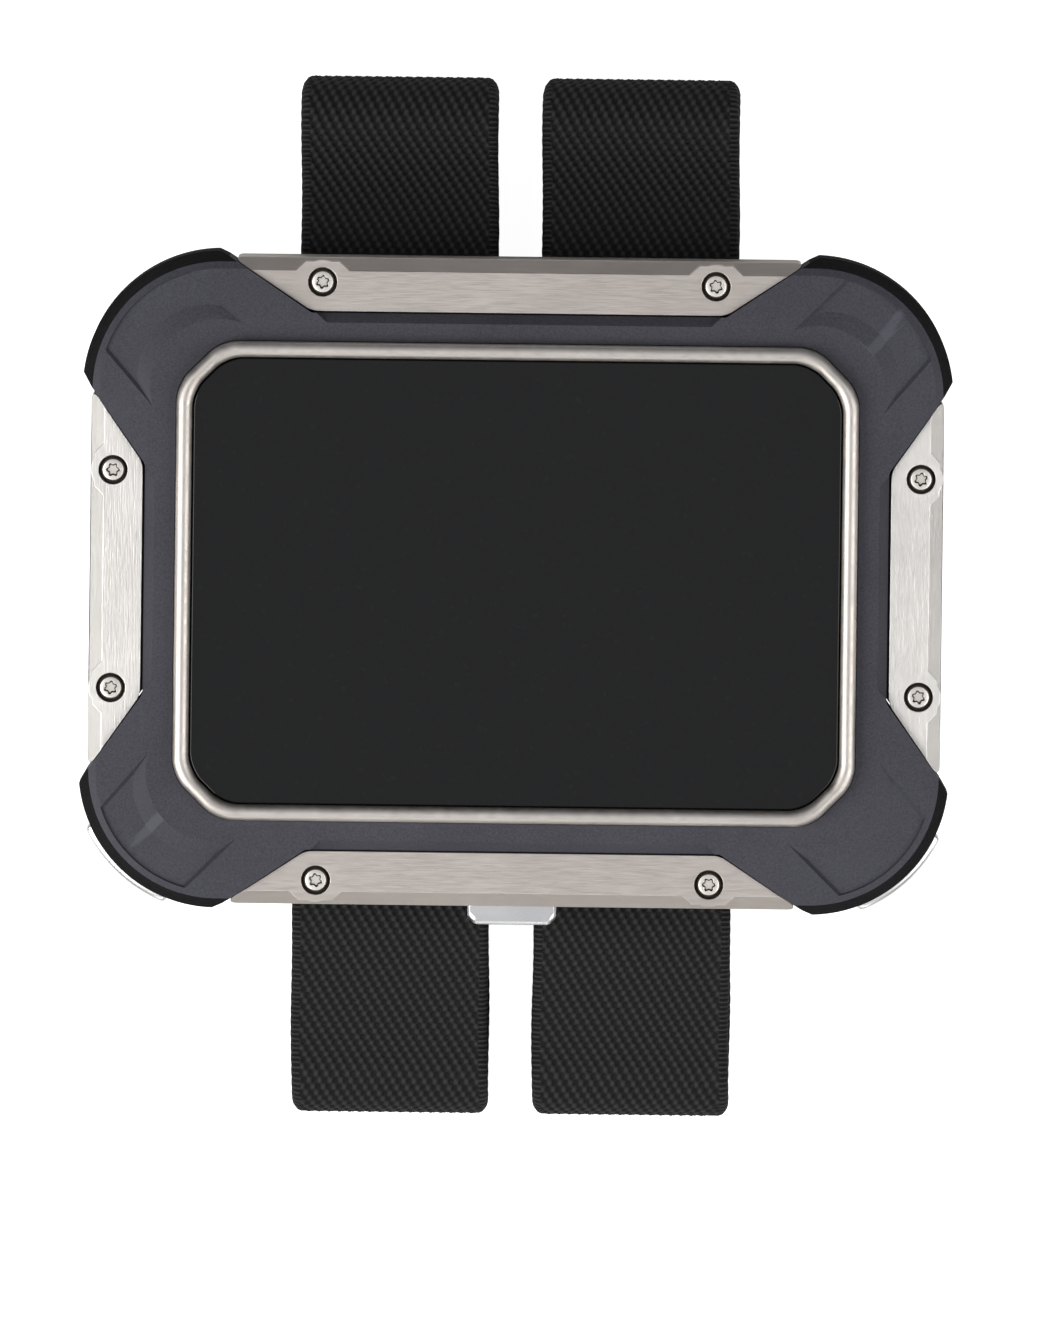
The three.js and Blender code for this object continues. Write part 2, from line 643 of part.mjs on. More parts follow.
function makeStraps() {
  const profile = new THREE.Shape(loopFace(webbing / 2));
  profile.holes.push(new THREE.Path(loopFace(-webbing / 2)));
  const half = strapWidth / 2;
  const band = solid(prism(profile, -half, half).rotateY(Math.PI / 2).rotateX(Math.PI / 2));
  const overlap = solid(block(-half, half, -overlapHalf, overlapHalf, webbing / 2, 2 * webbing));
  const loop = geometryOf(band.add(overlap));
  place('strap_left', loop.clone().translate(-strapX, 0, 0), webbingBlack);
  place('strap_right', loop.clone().translate(strapX, 0, 0), webbingBlack);

  // Each bar has a head at its left end and a screw in its right end
  [['top', 1], ['bottom', -1]].forEach(([name, side]) => {
    const headStart = lug.outerX + lug.width / 2 + gap;
    const rod = turned([
      [0, -headStart - bar.headHeight],
      [bar.headRadius, -headStart - bar.headHeight],
      [bar.headRadius, -headStart],
      [bar.radius, -headStart],
      [bar.radius, headStart - gap],
      [0.9, headStart - gap],
      [0.9, headStart - 5],
      [0, headStart - 5],
    ]).rotateZ(-Math.PI / 2);
    place(`strap_bar_${name}`, rod.translate(0, side * bar.y, bar.z), steel);
    const screw = torxScrew(bar.headRadius, 1.1, 0.6, 4.2).rotateY(Math.PI / 2);
    place(`strap_bar_screw_${name}`, screw.translate(headStart, side * bar.y, bar.z), steel);
  });
}

// ---- Assembly -----------------------------------------------------------------------------

const buttonCuts = buttons.map(buttonCut);
makeHousing(buttonCuts);
makeBumper(buttonCuts);
makeRearCover();
makePlate('plate_top', longPlate, 0);
makePlate('plate_left', sidePlate, Math.PI / 2);
makePlate('plate_bottom', longPlate, Math.PI, centreCap.opening);
makePlate('plate_right', sidePlate, -Math.PI / 2);
makeScrews();
makeDisplay();
makeInsides();
makeStraps();
buttons.forEach(makeButton);

export default part;
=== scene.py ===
import json
import math

import bmesh
import bpy
from mathutils import Matrix, Vector
from mathutils.geometry import interpolate_bezier


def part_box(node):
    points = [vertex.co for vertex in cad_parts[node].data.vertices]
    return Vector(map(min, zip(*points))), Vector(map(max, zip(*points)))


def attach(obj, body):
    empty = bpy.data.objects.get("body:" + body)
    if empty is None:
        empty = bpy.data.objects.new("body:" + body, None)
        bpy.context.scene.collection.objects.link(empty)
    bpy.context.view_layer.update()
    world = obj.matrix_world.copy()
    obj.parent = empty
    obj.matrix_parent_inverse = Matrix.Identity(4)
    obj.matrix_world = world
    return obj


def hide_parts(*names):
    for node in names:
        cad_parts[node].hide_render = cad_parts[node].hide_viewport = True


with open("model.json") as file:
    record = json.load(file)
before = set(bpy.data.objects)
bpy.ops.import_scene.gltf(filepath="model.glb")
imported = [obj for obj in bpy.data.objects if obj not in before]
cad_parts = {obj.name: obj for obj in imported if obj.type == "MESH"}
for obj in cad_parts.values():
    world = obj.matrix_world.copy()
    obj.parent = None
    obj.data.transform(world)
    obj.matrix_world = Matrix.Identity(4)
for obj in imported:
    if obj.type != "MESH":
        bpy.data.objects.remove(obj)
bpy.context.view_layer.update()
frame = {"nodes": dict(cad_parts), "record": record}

# Pieces are modelled in millimetres round the middle of the case, and put in place at the end
mm = 0.001
ringLow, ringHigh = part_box("bezel_ring")
caseMiddle = Vector(((ringLow.x + ringHigh.x) / 2, (ringLow.y + ringHigh.y) / 2, 0))
inPlace = Matrix.Translation(caseMiddle) @ Matrix.Scale(mm, 4)


def topOf(node):
    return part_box(node)[1].z / mm


def bottomOf(node):
    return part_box(node)[0].z / mm


def centreOf(node):
    low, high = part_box(node)
    return (low.x + high.x) / 2 / mm


studio = {
    "aim": (1.3, -10.7, 34.0),  # mm from the middle of the case
    "lens": 900,
    "across": 169.1,  # mm that the long side of the picture takes in
    "leanUp": 2.3,  # degrees
    "roll": 0.7,
    "skyColour": (0.93, 0.95, 1.0),
    "overhead": 0.5,  # strength of the sky straight above
    "horizon": 0.04,
    "skyBand": (0.2, 0.95),  # heights between which the sky brightens
    "floorSize": 4,
    "floorColour": (0.62, 0.62, 0.62),
    "floorRough": 0.9,
    "floorGlow": 0.95,  # what the camera sees; the object sees the paper alone
    "unseenGlow": (0.02, 0.02, 0.02),
}

# name, place in metres, size in metres, watts, colour
softboxes = [
    ("leftBox", (-0.5, -0.15, 0.49), (0.5, 0.6), 4.8, (1.0, 0.985, 0.96)),
    ("rightBox", (0.52, -0.12, 0.49), (0.5, 0.6), 2.7, (1.0, 0.98, 0.95)),
    ("lowBox", (0.02, -0.62, 0.36), (0.7, 0.35), 1.1, (1.0, 0.98, 0.96)),
]


def makeStudio():
    scene = bpy.context.scene
    scene.view_settings.view_transform = "Standard"
    world = bpy.data.worlds.new("studioWorld")
    world.use_nodes = True
    tree = world.node_tree
    sky = tree.nodes["Background"]
    sky.inputs["Color"].default_value = (*studio["skyColour"], 1)
    parts = tree.nodes.new("ShaderNodeSeparateXYZ")
    tree.links.new(tree.nodes.new("ShaderNodeTexCoord").outputs["Generated"], parts.inputs[0])
    height = remap(tree, parts.outputs["Z"], *studio["skyBand"], studio["horizon"], studio["overhead"])
    tree.links.new(height, sky.inputs["Strength"])
    scene.world = world

    aim = inPlace @ Vector(studio["aim"])
    camera = bpy.data.cameras.new("camera")
    camera.lens = studio["lens"]
    camera.clip_end = 20
    eye = bpy.data.objects.new("camera", camera)
    distance = studio["across"] * mm * camera.lens / camera.sensor_width
    turn = (Matrix.Rotation(math.radians(-studio["leanUp"]), 4, "X")
            @ Matrix.Rotation(math.radians(studio["roll"]), 4, "Z"))
    eye.matrix_world = Matrix.Translation(aim) @ turn @ Matrix.Translation((0, 0, distance))
    scene.collection.objects.link(eye)
    scene.camera = eye

    for name, spot, size, watts, colour in softboxes:
        light = bpy.data.lights.new(name, "AREA")
        light.shape = "RECTANGLE"
        light.size, light.size_y = size
        light.energy = watts
        light.color = colour
        lamp = bpy.data.objects.new(name, light)
        facing = (aim - Vector(spot)).to_track_quat("-Z", "Y").to_matrix().to_4x4()
        lamp.matrix_world = Matrix.Translation(spot) @ facing
        scene.collection.objects.link(lamp)

    bm = bmesh.new()
    bmesh.ops.create_grid(bm, x_segments=2, y_segments=2, size=studio["floorSize"])
    mesh = bpy.data.meshes.new("floor")
    bm.to_mesh(mesh)
    bm.free()
    floor = bpy.data.objects.new("floor", mesh)
    scene.collection.objects.link(floor)
    paper, tree, shader = newMaterial("floorPaper", Base_Color=(*studio["floorColour"], 1),
                                      Roughness=studio["floorRough"], Emission_Strength=studio["floorGlow"])
    seen = tree.nodes.new("ShaderNodeLightPath").outputs["Is Camera Ray"]
    feed(tree, shader, Emission_Color=blendColours(tree, seen, studio["unseenGlow"], (1, 1, 1)))
    mesh.materials.append(paper)


def newMaterial(name, **sockets):
    material = bpy.data.materials.new(name)
    material.use_nodes = True
    shader = material.node_tree.nodes["Principled BSDF"]
    for key, value in sockets.items():
        shader.inputs[key.replace("_", " ")].default_value = value
    return material, material.node_tree, shader


def feed(tree, shader, **links):
    for key, value in links.items():
        tree.links.new(value, shader.inputs[key.replace("_", " ")])


def newGroup(name, inputs, outputs):
    group = bpy.data.node_groups.new(name, "ShaderNodeTree")
    for socket, kind, value in inputs:
        made = group.interface.new_socket(name=socket, in_out="INPUT", socket_type=kind)
        if value is not None:
            made.default_value = value
    for socket, kind in outputs:
        group.interface.new_socket(name=socket, in_out="OUTPUT", socket_type=kind)
    return group, group.nodes.new("NodeGroupInput"), group.nodes.new("NodeGroupOutput")


def useGroup(tree, group, vector=None, **values):
    node = tree.nodes.new("ShaderNodeGroup")
    node.node_tree = group
    if vector is not None:
        tree.links.new(vector, node.inputs["Vector"])
    for key, value in values.items():
        node.inputs[key.replace("_", " ")].default_value = value
    return node.outputs


def calc(tree, operation, a, b=0.0):
    node = tree.nodes.new("ShaderNodeMath")
    node.operation = operation
    for socket, value in zip(node.inputs, (a, b)):
        if isinstance(value, (int, float)):
            socket.default_value = value
        else:
            tree.links.new(value, socket)
    return node.outputs[0]


def remap(tree, value, low, high, toLow=0.0, toHigh=1.0):
    node = tree.nodes.new("ShaderNodeMapRange")
    for name, number in (("From Min", low), ("From Max", high), ("To Min", toLow), ("To Max", toHigh)):
        node.inputs[name].default_value = number
    tree.links.new(value, node.inputs["Value"])
    return node.outputs["Result"]


def blendColours(tree, factor, first, second):
    node = tree.nodes.new("ShaderNodeMix")
    node.data_type = "RGBA"
    tree.links.new(factor, node.inputs[0])
    for socket, value in ((node.inputs[6], first), (node.inputs[7], second)):
        if isinstance(value, tuple):
            socket.default_value = (*value, 1)
        else:
            tree.links.new(value, socket)
    return node.outputs[2]


def bump(tree, heights, strength, depth, under=None):
    node = tree.nodes.new("ShaderNodeBump")
    node.inputs["Strength"].default_value = strength
    node.inputs["Distance"].default_value = depth * mm
    tree.links.new(heights, node.inputs["Height"])
    if under is not None:
        tree.links.new(under, node.inputs["Normal"])
    return node.outputs["Normal"]


def share(tree, first, second, firstShare):
    # Two masks added up, the first with its share and the second with the rest
    main = calc(tree, "MULTIPLY", first, firstShare)
    return calc(tree, "ADD", main, calc(tree, "MULTIPLY", second, 1 - firstShare))


def objectPoints(tree):
    return tree.nodes.new("ShaderNodeTexCoord").outputs["Object"]


def noiseIn(tree, vector, size, detail=2.0):
    node = tree.nodes.new("ShaderNodeTexNoise")
    node.inputs["Detail"].default_value = detail
    tree.links.new(vector, node.inputs["Vector"])
    if isinstance(size, (int, float)):
        node.inputs["Scale"].default_value = 1 / (size * mm)
    else:
        tree.links.new(calc(tree, "DIVIDE", 1 / mm, size), node.inputs["Scale"])
    return node.outputs["Fac"]


def makeGrainEffect():
    group, given, out = newGroup("grainEffect", [
        ("Vector", "NodeSocketVector", None),
        ("Size", "NodeSocketFloat", 0.3),
        ("Patch size", "NodeSocketFloat", 12.0),
    ], [("Grain", "NodeSocketFloat"), ("Patches", "NodeSocketFloat")])
    vector = given.outputs["Vector"]
    group.links.new(noiseIn(group, vector, given.outputs["Size"], 3), out.inputs["Grain"])
    group.links.new(noiseIn(group, vector, given.outputs["Patch size"], 4), out.inputs["Patches"])
    return group


def makeBrushEffect():
    group, given, out = newGroup("brushEffect", [
        ("Vector", "NodeSocketVector", None),
        ("Stretch", "NodeSocketVector", (60, 4000, 4000)),
    ], [("Lines", "NodeSocketFloat"), ("Streaks", "NodeSocketFloat")])
    for name, scale in (("Lines", 1.0), ("Streaks", 0.22)):
        stretched = group.nodes.new("ShaderNodeVectorMath")
        stretched.operation = "MULTIPLY"
        group.links.new(given.outputs["Vector"], stretched.inputs[0])
        group.links.new(given.outputs["Stretch"], stretched.inputs[1])
        node = group.nodes.new("ShaderNodeTexNoise")
        node.inputs["Scale"].default_value = scale
        node.inputs["Detail"].default_value = 3
        group.links.new(stretched.outputs[0], node.inputs["Vector"])
        group.links.new(node.outputs["Fac"], out.inputs[name])
    return group


wearBreak = {"size": 1.2, "amount": 0.06}  # mm, and how far it moves an edge's mask


def makeWearEffect():
    group, given, out = newGroup("wearEffect", [
        ("Vector", "NodeSocketVector", None),
        ("Start", "NodeSocketFloat", 0.53),
        ("Full", "NodeSocketFloat", 0.6),
    ], [("Wear", "NodeSocketFloat")])
    geometry = group.nodes.new("ShaderNodeNewGeometry")
    breaks = noiseIn(group, given.outputs["Vector"], wearBreak["size"], 4)
    broken = calc(group, "MULTIPLY", breaks, wearBreak["amount"])
    point = calc(group, "SUBTRACT", geometry.outputs["Pointiness"], broken)
    node = group.nodes.new("ShaderNodeMapRange")
    group.links.new(point, node.inputs["Value"])
    group.links.new(given.outputs["Start"], node.inputs["From Min"])
    group.links.new(given.outputs["Full"], node.inputs["From Max"])
    group.links.new(node.outputs["Result"], out.inputs["Wear"])
    return group


weave = {
    "wales": 0.748,  # waves per mm across the strap, of both sets of diagonals
    "steep": 0.425,  # waves per mm along it, of the stronger set
    "shallow": 0.85,
    "share": 0.6,  # of the stronger set
    "selvedge": 1.1,  # mm
    "wideSelvedge": 2.4,  # on the right strap's right edge
    "blend": 0.15,  # mm, half of the change from ribs to diagonals
    "rib": 0.62,
    "fibre": 0.16,
}


def makeWeaveEffect():
    # The vector is the strap's UV map, in millimetres: across from its middle, and along it
    group, given, out = newGroup("weaveEffect", [
        ("Vector", "NodeSocketVector", None),
        ("Half width", "NodeSocketFloat", 12.5),
    ], [("Height", "NodeSocketFloat"), ("Yarn", "NodeSocketFloat")])
    parts = group.nodes.new("ShaderNodeSeparateXYZ")
    group.links.new(given.outputs["Vector"], parts.inputs[0])
    across, along = parts.outputs["X"], parts.outputs["Y"]
    sets = []
    for side, slant in ((-1, weave["steep"]), (1, weave["shallow"])):
        turns = calc(group, "ADD", calc(group, "MULTIPLY", across, side * weave["wales"]),
                     calc(group, "MULTIPLY", along, slant))
        sets.append(calc(group, "COSINE", calc(group, "MULTIPLY", turns, 2 * math.pi)))
    knots = share(group, *sets, weave["share"])
    ribs = calc(group, "COSINE", calc(group, "MULTIPLY", along, 2 * math.pi / weave["rib"]))
    fromEdge = calc(group, "SUBTRACT", given.outputs["Half width"], calc(group, "ABSOLUTE", across))
    inside = remap(group, fromEdge, weave["selvedge"] - weave["blend"], weave["selvedge"] + weave["blend"])
    node = group.nodes.new("ShaderNodeMix")
    group.links.new(inside, node.inputs[0])
    group.links.new(ribs, node.inputs[2])
    group.links.new(knots, node.inputs[3])
    fibres = noiseIn(group, given.outputs["Vector"], weave["fibre"] / mm, 2)
    group.links.new(node.outputs[0], out.inputs["Height"])
    group.links.new(fibres, out.inputs["Yarn"])
    return group


noiseBand = (0.3, 0.7)  # where nearly all of a noise lies

rubberLook = {
    "patch": 14.0,  # mm
    "grainShare": 0.75,
    "colourBand": (0.34, 0.66),
    "wear": (0.52, 0.62),
    "wearShare": 0.5,
    "paler": 1.7,
    "roughSpread": 0.08,
}


def makeRubber(name, dark, light, grain, depth, rough, gloss=0.3):
    material, tree, shader = newMaterial(name, Roughness=rough, Specular_IOR_Level=gloss)
    points = objectPoints(tree)
    outs = useGroup(tree, grainEffect, points, Size=grain, Patch_size=rubberLook["patch"])
    mixed = share(tree, outs["Grain"], outs["Patches"], rubberLook["grainShare"])
    colour = blendColours(tree, remap(tree, mixed, *rubberLook["colourBand"]), dark, light)
    start, full = rubberLook["wear"]
    wear = useGroup(tree, wearEffect, points, Start=start, Full=full)["Wear"]
    pale = tuple(min(1, rubberLook["paler"] * c) for c in light)
    colour = blendColours(tree, calc(tree, "MULTIPLY", wear, rubberLook["wearShare"]), colour, pale)
    spread = rubberLook["roughSpread"]
    roughness = remap(tree, outs["Grain"], *noiseBand, rough - spread, rough + spread)
    feed(tree, shader, Base_Color=colour, Roughness=roughness, Normal=bump(tree, outs["Grain"], 0.6, depth))
    return material


brushedLook = {
    "grain": 0.35,  # mm
    "patch": 9.0,
    "streakShare": 0.25,
    "wear": (0.53, 0.66),
    "wearShare": 0.4,
    "worn": (0.95, 0.94, 0.92),
    "roughSpread": (0.06, 0.08),
    "grainDepth": 0.01,
}


def makeBrushedMetal(name, dark, light, stretch, rough, lineDepth):
    material, tree, shader = newMaterial(name, Metallic=1.0, Roughness=rough)
    points = objectPoints(tree)
    brush = useGroup(tree, brushEffect, points, Stretch=stretch)
    look = brushedLook
    outs = useGroup(tree, grainEffect, points, Size=look["grain"], Patch_size=look["patch"])
    mixed = share(tree, brush["Streaks"], outs["Patches"], look["streakShare"])
    colour = blendColours(tree, remap(tree, mixed, *noiseBand), dark, light)
    start, full = look["wear"]
    wear = useGroup(tree, wearEffect, points, Start=start, Full=full)["Wear"]
    colour = blendColours(tree, calc(tree, "MULTIPLY", wear, look["wearShare"]), colour, look["worn"])
    less, more = look["roughSpread"]
    roughness = remap(tree, brush["Lines"], *noiseBand, rough - less, rough + more)
    under = bump(tree, outs["Grain"], 0.25, look["grainDepth"])
    lines = bump(tree, brush["Lines"], 0.8, lineDepth, under)
    feed(tree, shader, Base_Color=colour, Roughness=roughness, Normal=lines)
    return material


polishedLook = {
    "grain": 0.5,  # mm
    "patch": 5.0,
    "smudgeBand": (0.35, 0.7),
    "smudged": 0.9,
    "roughSpread": 0.08,
    "grainDepth": 0.004,
}


def makePolishedSteel(name, colour, rough):
    material, tree, shader = newMaterial(name, Metallic=1.0)
    points = objectPoints(tree)
    outs = useGroup(tree, grainEffect, points, Size=polishedLook["grain"], Patch_size=polishedLook["patch"])
    smudge = remap(tree, outs["Patches"], *polishedLook["smudgeBand"])
    dull = tuple(polishedLook["smudged"] * c for c in colour)
    mixed = blendColours(tree, smudge, colour, dull)
    roughness = remap(tree, outs["Patches"], *noiseBand, rough, rough + polishedLook["roughSpread"])
    grain = bump(tree, outs["Grain"], 0.1, polishedLook["grainDepth"])
    feed(tree, shader, Base_Color=mixed, Roughness=roughness, Normal=grain)
    return material


glassLook = {
    "dustSize": 0.8,  # mm
    "patch": 30.0,
    "dustBand": (0.62, 0.8),
    "dustShare": 0.35,
    "clean": (0.004, 0.004, 0.004),
    "dusty": (0.016, 0.016, 0.016),
    "rough": (0.03, 0.07),
}


def makeGlass():
    material, tree, shader = newMaterial("displayGlass", Roughness=0.04, IOR=1.45)
    points = objectPoints(tree)
    outs = useGroup(tree, grainEffect, points, Size=glassLook["dustSize"], Patch_size=glassLook["patch"])
    dust = remap(tree, outs["Grain"], *glassLook["dustBand"], 0.0, glassLook["dustShare"])
    colour = blendColours(tree, dust, glassLook["clean"], glassLook["dusty"])
    roughness = remap(tree, outs["Patches"], *noiseBand, *glassLook["rough"])
    feed(tree, shader, Base_Color=colour, Roughness=roughness)
    return material


plasticLook = {"patch": 10.0, "paler": 1.35, "roughSpread": 0.07, "grainDepth": 0.03}  # mm


def makePlastic(name, colour, rough, grain=0.25):
    material, tree, shader = newMaterial(name)
    points = objectPoints(tree)
    outs = useGroup(tree, grainEffect, points, Size=grain, Patch_size=plasticLook["patch"])
    pale = tuple(plasticLook["paler"] * c for c in colour)
    mixed = blendColours(tree, remap(tree, outs["Patches"], *noiseBand), colour, pale)
    spread = plasticLook["roughSpread"]
    roughness = remap(tree, outs["Grain"], *noiseBand, rough - spread, rough + spread)
    surface = bump(tree, outs["Grain"], 0.35, plasticLook["grainDepth"])
    feed(tree, shader, Base_Color=mixed, Roughness=roughness, Normal=surface)
    return material


webbingLook = {
    "raisedBand": (-0.3, 1.0),
    # low and high colour the weave by its height: painted shade in the valleys and a painted highlight on the
    # crests
    "low": (0.0003, 0.0003, 0.0003),
    "high": (0.027, 0.027, 0.028),
    "fibreBand": (0.55, 0.8),
    "fibreShare": 0.4,
    "fibre": (0.05, 0.05, 0.051),
    "fibreDepth": 0.05,  # mm
    "weaveDepth": 0.16,
}


def makeWebbing():
    material, tree, shader = newMaterial("elasticWebbing", Roughness=0.75, Specular_IOR_Level=0.25)
    uv = tree.nodes.new("ShaderNodeUVMap")
    uv.uv_map = "strapMap"
    outs = useGroup(tree, weaveEffect, uv.outputs["UV"], Half_width=strap["width"] / 2)
    # the weave's height sets the colour: painted shade down in the valleys, painted highlight on the crests
    raised = remap(tree, outs["Height"], *webbingLook["raisedBand"])
    colour = blendColours(tree, raised, webbingLook["low"], webbingLook["high"])
    fibres = remap(tree, outs["Yarn"], *webbingLook["fibreBand"], 0.0, webbingLook["fibreShare"])
    colour = blendColours(tree, fibres, colour, webbingLook["fibre"])
    under = bump(tree, outs["Yarn"], 0.5, webbingLook["fibreDepth"])
    woven = bump(tree, outs["Height"], 0.6, webbingLook["weaveDepth"], under)
    feed(tree, shader, Base_Color=colour, Normal=woven)
    return material


def newPiece(name, bm):
    mesh = bpy.data.meshes.new(name)
    bm.to_mesh(mesh)
    bm.free()
    piece = bpy.data.objects.new(name, mesh)
    bpy.context.scene.collection.objects.link(piece)
    return piece


def outlineFace(bm, corners, z, segments=6):
    # A corner is (x, y) or (x, y, radius); its rounding is a bevel of the vertex
    verts = [bm.verts.new((c[0], c[1], z)) for c in corners]
    bm.faces.new(verts)
    for i, corner in enumerate(corners):
        if len(corner) < 3 or corner[2] == 0:
            continue
        here, before, after = (Vector(corners[k % len(corners)][:2]) for k in (i, i - 1, i + 1))
        opening = (before - here).angle(after - here)
        offset = corner[2] / math.tan(opening / 2)
        bmesh.ops.bevel(bm, geom=[verts[i]], offset=offset, affect="VERTICES", segments=segments, profile=0.5,
                        material=-1)
    bm.faces.ensure_lookup_table()
    face = bm.faces[-1]
    face.normal_update()
    if face.normal.z < 0:
        face.normal_flip()
    return face


def extrudeUp(bm, faces, distance):
    made = bmesh.ops.extrude_face_region(bm, geom=faces)["geom"]
    verts = [g for g in made if isinstance(g, bmesh.types.BMVert)]
    bmesh.ops.translate(bm, verts=verts, vec=(0, 0, distance))
    bmesh.ops.recalc_face_normals(bm, faces=bm.faces[:])
    return [g for g in made if isinstance(g, bmesh.types.BMFace)]


def slab(corners, bottom, top, segments=6, edge=0):
    bm = bmesh.new()
    face = outlineFace(bm, corners, bottom, segments)
    tops = extrudeUp(bm, [face], top - bottom)
    if edge:
        rim = list({e for f in tops for e in f.edges})
        bmesh.ops.bevel(bm, geom=rim, offset=edge, affect="EDGES", segments=2, profile=0.5, material=-1)
    return newPiece("slab", bm)


def drum(x, y, radius, bottom, top, sides):
    bm = bmesh.new()
    middle = Matrix.Translation((x, y, (bottom + top) / 2))
    bmesh.ops.create_cone(bm, cap_ends=True, segments=sides, radius1=radius, radius2=radius,
                          depth=top - bottom, matrix=middle)
    return newPiece("drum", bm)


def crate(low, high):
    bm = bmesh.new()
    middle = [(a + b) / 2 for a, b in zip(low, high)]
    size = Matrix.Diagonal([b - a for a, b in zip(low, high)]).to_4x4()
    bmesh.ops.create_cube(bm, size=1, matrix=Matrix.Translation(middle) @ size)
    return newPiece("crate", bm)


wayOut = 60  # mm, past every side of the case
through = (10, 45)  # heights that go right through it


def edgeBar(leg, reach, top):
    # A square bar along X that takes a chamfer with this leg off a top edge
    bar = crate((-wayOut, -leg, -leg), (wayOut, leg, leg))
    bar.data.transform(Matrix.Translation((0, reach, top)) @ Matrix.Rotation(math.pi / 4, 4, "X")
                       @ Matrix.Scale(math.sqrt(0.5), 4))
    return bar


def bake(piece):
    # The modifiers' result becomes the mesh
    graph = bpy.context.evaluated_depsgraph_get()
    mesh = bpy.data.meshes.new_from_object(piece.evaluated_get(graph))
    old = piece.data
    piece.modifiers.clear()
    piece.data = mesh
    bpy.data.meshes.remove(old)


def combine(piece, others, operation="DIFFERENCE"):
    for other in others:
        step = piece.modifiers.new("combine", "BOOLEAN")
        step.operation = operation
        step.solver = "EXACT"
        step.object = other
        bake(piece)
        bpy.data.objects.remove(other)
    return piece


def soften(piece, width, segments, angle):
    step = piece.modifiers.new("soften", "BEVEL")
    step.width = width
    step.segments = segments
    step.limit_method = "ANGLE"
    step.angle_limit = math.radians(angle)
    step.use_clamp_overlap = False
    bake(piece)
    return piece


def bodyOf(node):
    return next(body for body, nodes in frame["record"]["behaviour"]["bodies"].items() if node in nodes)


merge = 0.002  # mm, between corners that are one


def settle(piece, name, materials, node, stands=True, smooth=32, matrix=inPlace, evenFaces=True):
    # The piece rides with its CAD node and takes its slot, and either stands in for it or lies beside it
    piece.name = name
    piece.data.name = name
    bm = bmesh.new()
    bm.from_mesh(piece.data)
    bmesh.ops.remove_doubles(bm, verts=bm.verts[:], dist=merge if matrix is inPlace else merge * mm)
    bmesh.ops.transform(bm, matrix=matrix, verts=bm.verts[:])
    bm.to_mesh(piece.data)
    bm.free()
    piece.data.shade_smooth()
    piece.data.set_sharp_from_angle(angle=math.radians(smooth))
    if evenFaces:
        step = piece.modifiers.new("evenFaces", "WEIGHTED_NORMAL")
        step.keep_sharp = True
        bake(piece)
        piece.data.name = name
    piece.data.materials.clear()
    for material in materials:
        piece.data.materials.append(material)
    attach(piece, bodyOf(node))
    if stands:
        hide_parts(node)


def paintBoreShade(piece, centres, radius, below, levelest=2.0):
    # Faces down a bore get the piece's second material, a dark painted shade, the level ones only if asked
    # for
    for face in piece.data.polygons:
        spot = face.center / mm
        near = any((spot.xy - centre).length < radius for centre in centres)
        if near and spot.z < below and abs(face.normal.z) < levelest:
            face.material_index = 1


def outwardOf(node):
    # The way that a button's face looks
    joint = next(j for j in frame["record"]["behaviour"]["joints"] if j["child"] == bodyOf(node))
    return -Vector(joint["axis"])


def refined(node, width, material, segments=2, angle=40, front=None):
    # A copy of the CAD node with its edges broken, or only those in its first front millimetres
    source = frame["nodes"][node]
    piece = bpy.data.objects.new(node + "_finished", source.data.copy())
    bpy.context.scene.collection.objects.link(piece)
    bm = bmesh.new()
    bm.from_mesh(piece.data)
    bmesh.ops.remove_doubles(bm, verts=bm.verts[:], dist=merge * mm)
    bmesh.ops.dissolve_limit(bm, angle_limit=math.radians(1), verts=bm.verts[:], edges=bm.edges[:])
    if front:
        outward = outwardOf(node)
        limit = max(v.co @ outward for v in bm.verts) - front * mm
        rim = [e for e in bm.edges if e.calc_face_angle(0) > math.radians(angle)
               and all(v.co @ outward > limit for v in e.verts)]
        bmesh.ops.bevel(bm, geom=rim, offset=width * mm, affect="EDGES", segments=segments, profile=0.5,
                        material=-1)
    bm.to_mesh(piece.data)
    bm.free()
    if not front:
        soften(piece, width * mm, segments, angle)
    settle(piece, node + "_finished", [material], node, matrix=Matrix())


ear = {"x": 37.6, "y": 24.1, "radius": 17.55, "lean": math.radians(47)}
longPlate = {"inner": 34.2, "outer": 41.0, "innerHalf": 26.4, "outerHalf": 36.7, "screw": (24.9, 37.9)}
sidePlate = {"inner": 47.4, "outer": 54.0, "innerHalf": 14.9, "outerHalf": 24.3, "screw": (13.8, 51.15)}

buttonWindow = {
    "height": 27.8,
    "half": 3.7,  # half of its height
    "centre": 6.0,  # half widths
    "corner": 7.05,
    "reach": (12.7, 22),  # from the middle of an ear's arc
}


def cutRectangle(halfX, halfY, cut, radius):
    corners = []
    for sx, sy in ((1, 1), (-1, 1), (-1, -1), (1, -1)):
        pair = [(sx * halfX, sy * (halfY - cut), radius), (sx * (halfX - cut), sy * halfY, radius)]
        corners += pair if sx * sy > 0 else pair[::-1]
    return corners


def rectangle(halfX, halfY, radius=0):
    return [(sx * halfX, sy * halfY, radius) for sx, sy in ((1, -1), (1, 1), (-1, 1), (-1, -1))]


def plateHalf(p, at):
    # Half the length of a plate's slanted outline, at a distance from the middle of the case
    return p["innerHalf"] + (at - p["inner"]) * (p["outerHalf"] - p["innerHalf"]) / (p["outer"] - p["inner"])


def mirrored(piece, sx, sy):
    bm = bmesh.new()
    bm.from_mesh(piece.data)
    bmesh.ops.scale(bm, vec=(sx, sy, 1), verts=bm.verts[:])
    if sx * sy < 0:
        bmesh.ops.reverse_faces(bm, faces=bm.faces[:])
    return newPiece("mirrored", bm)


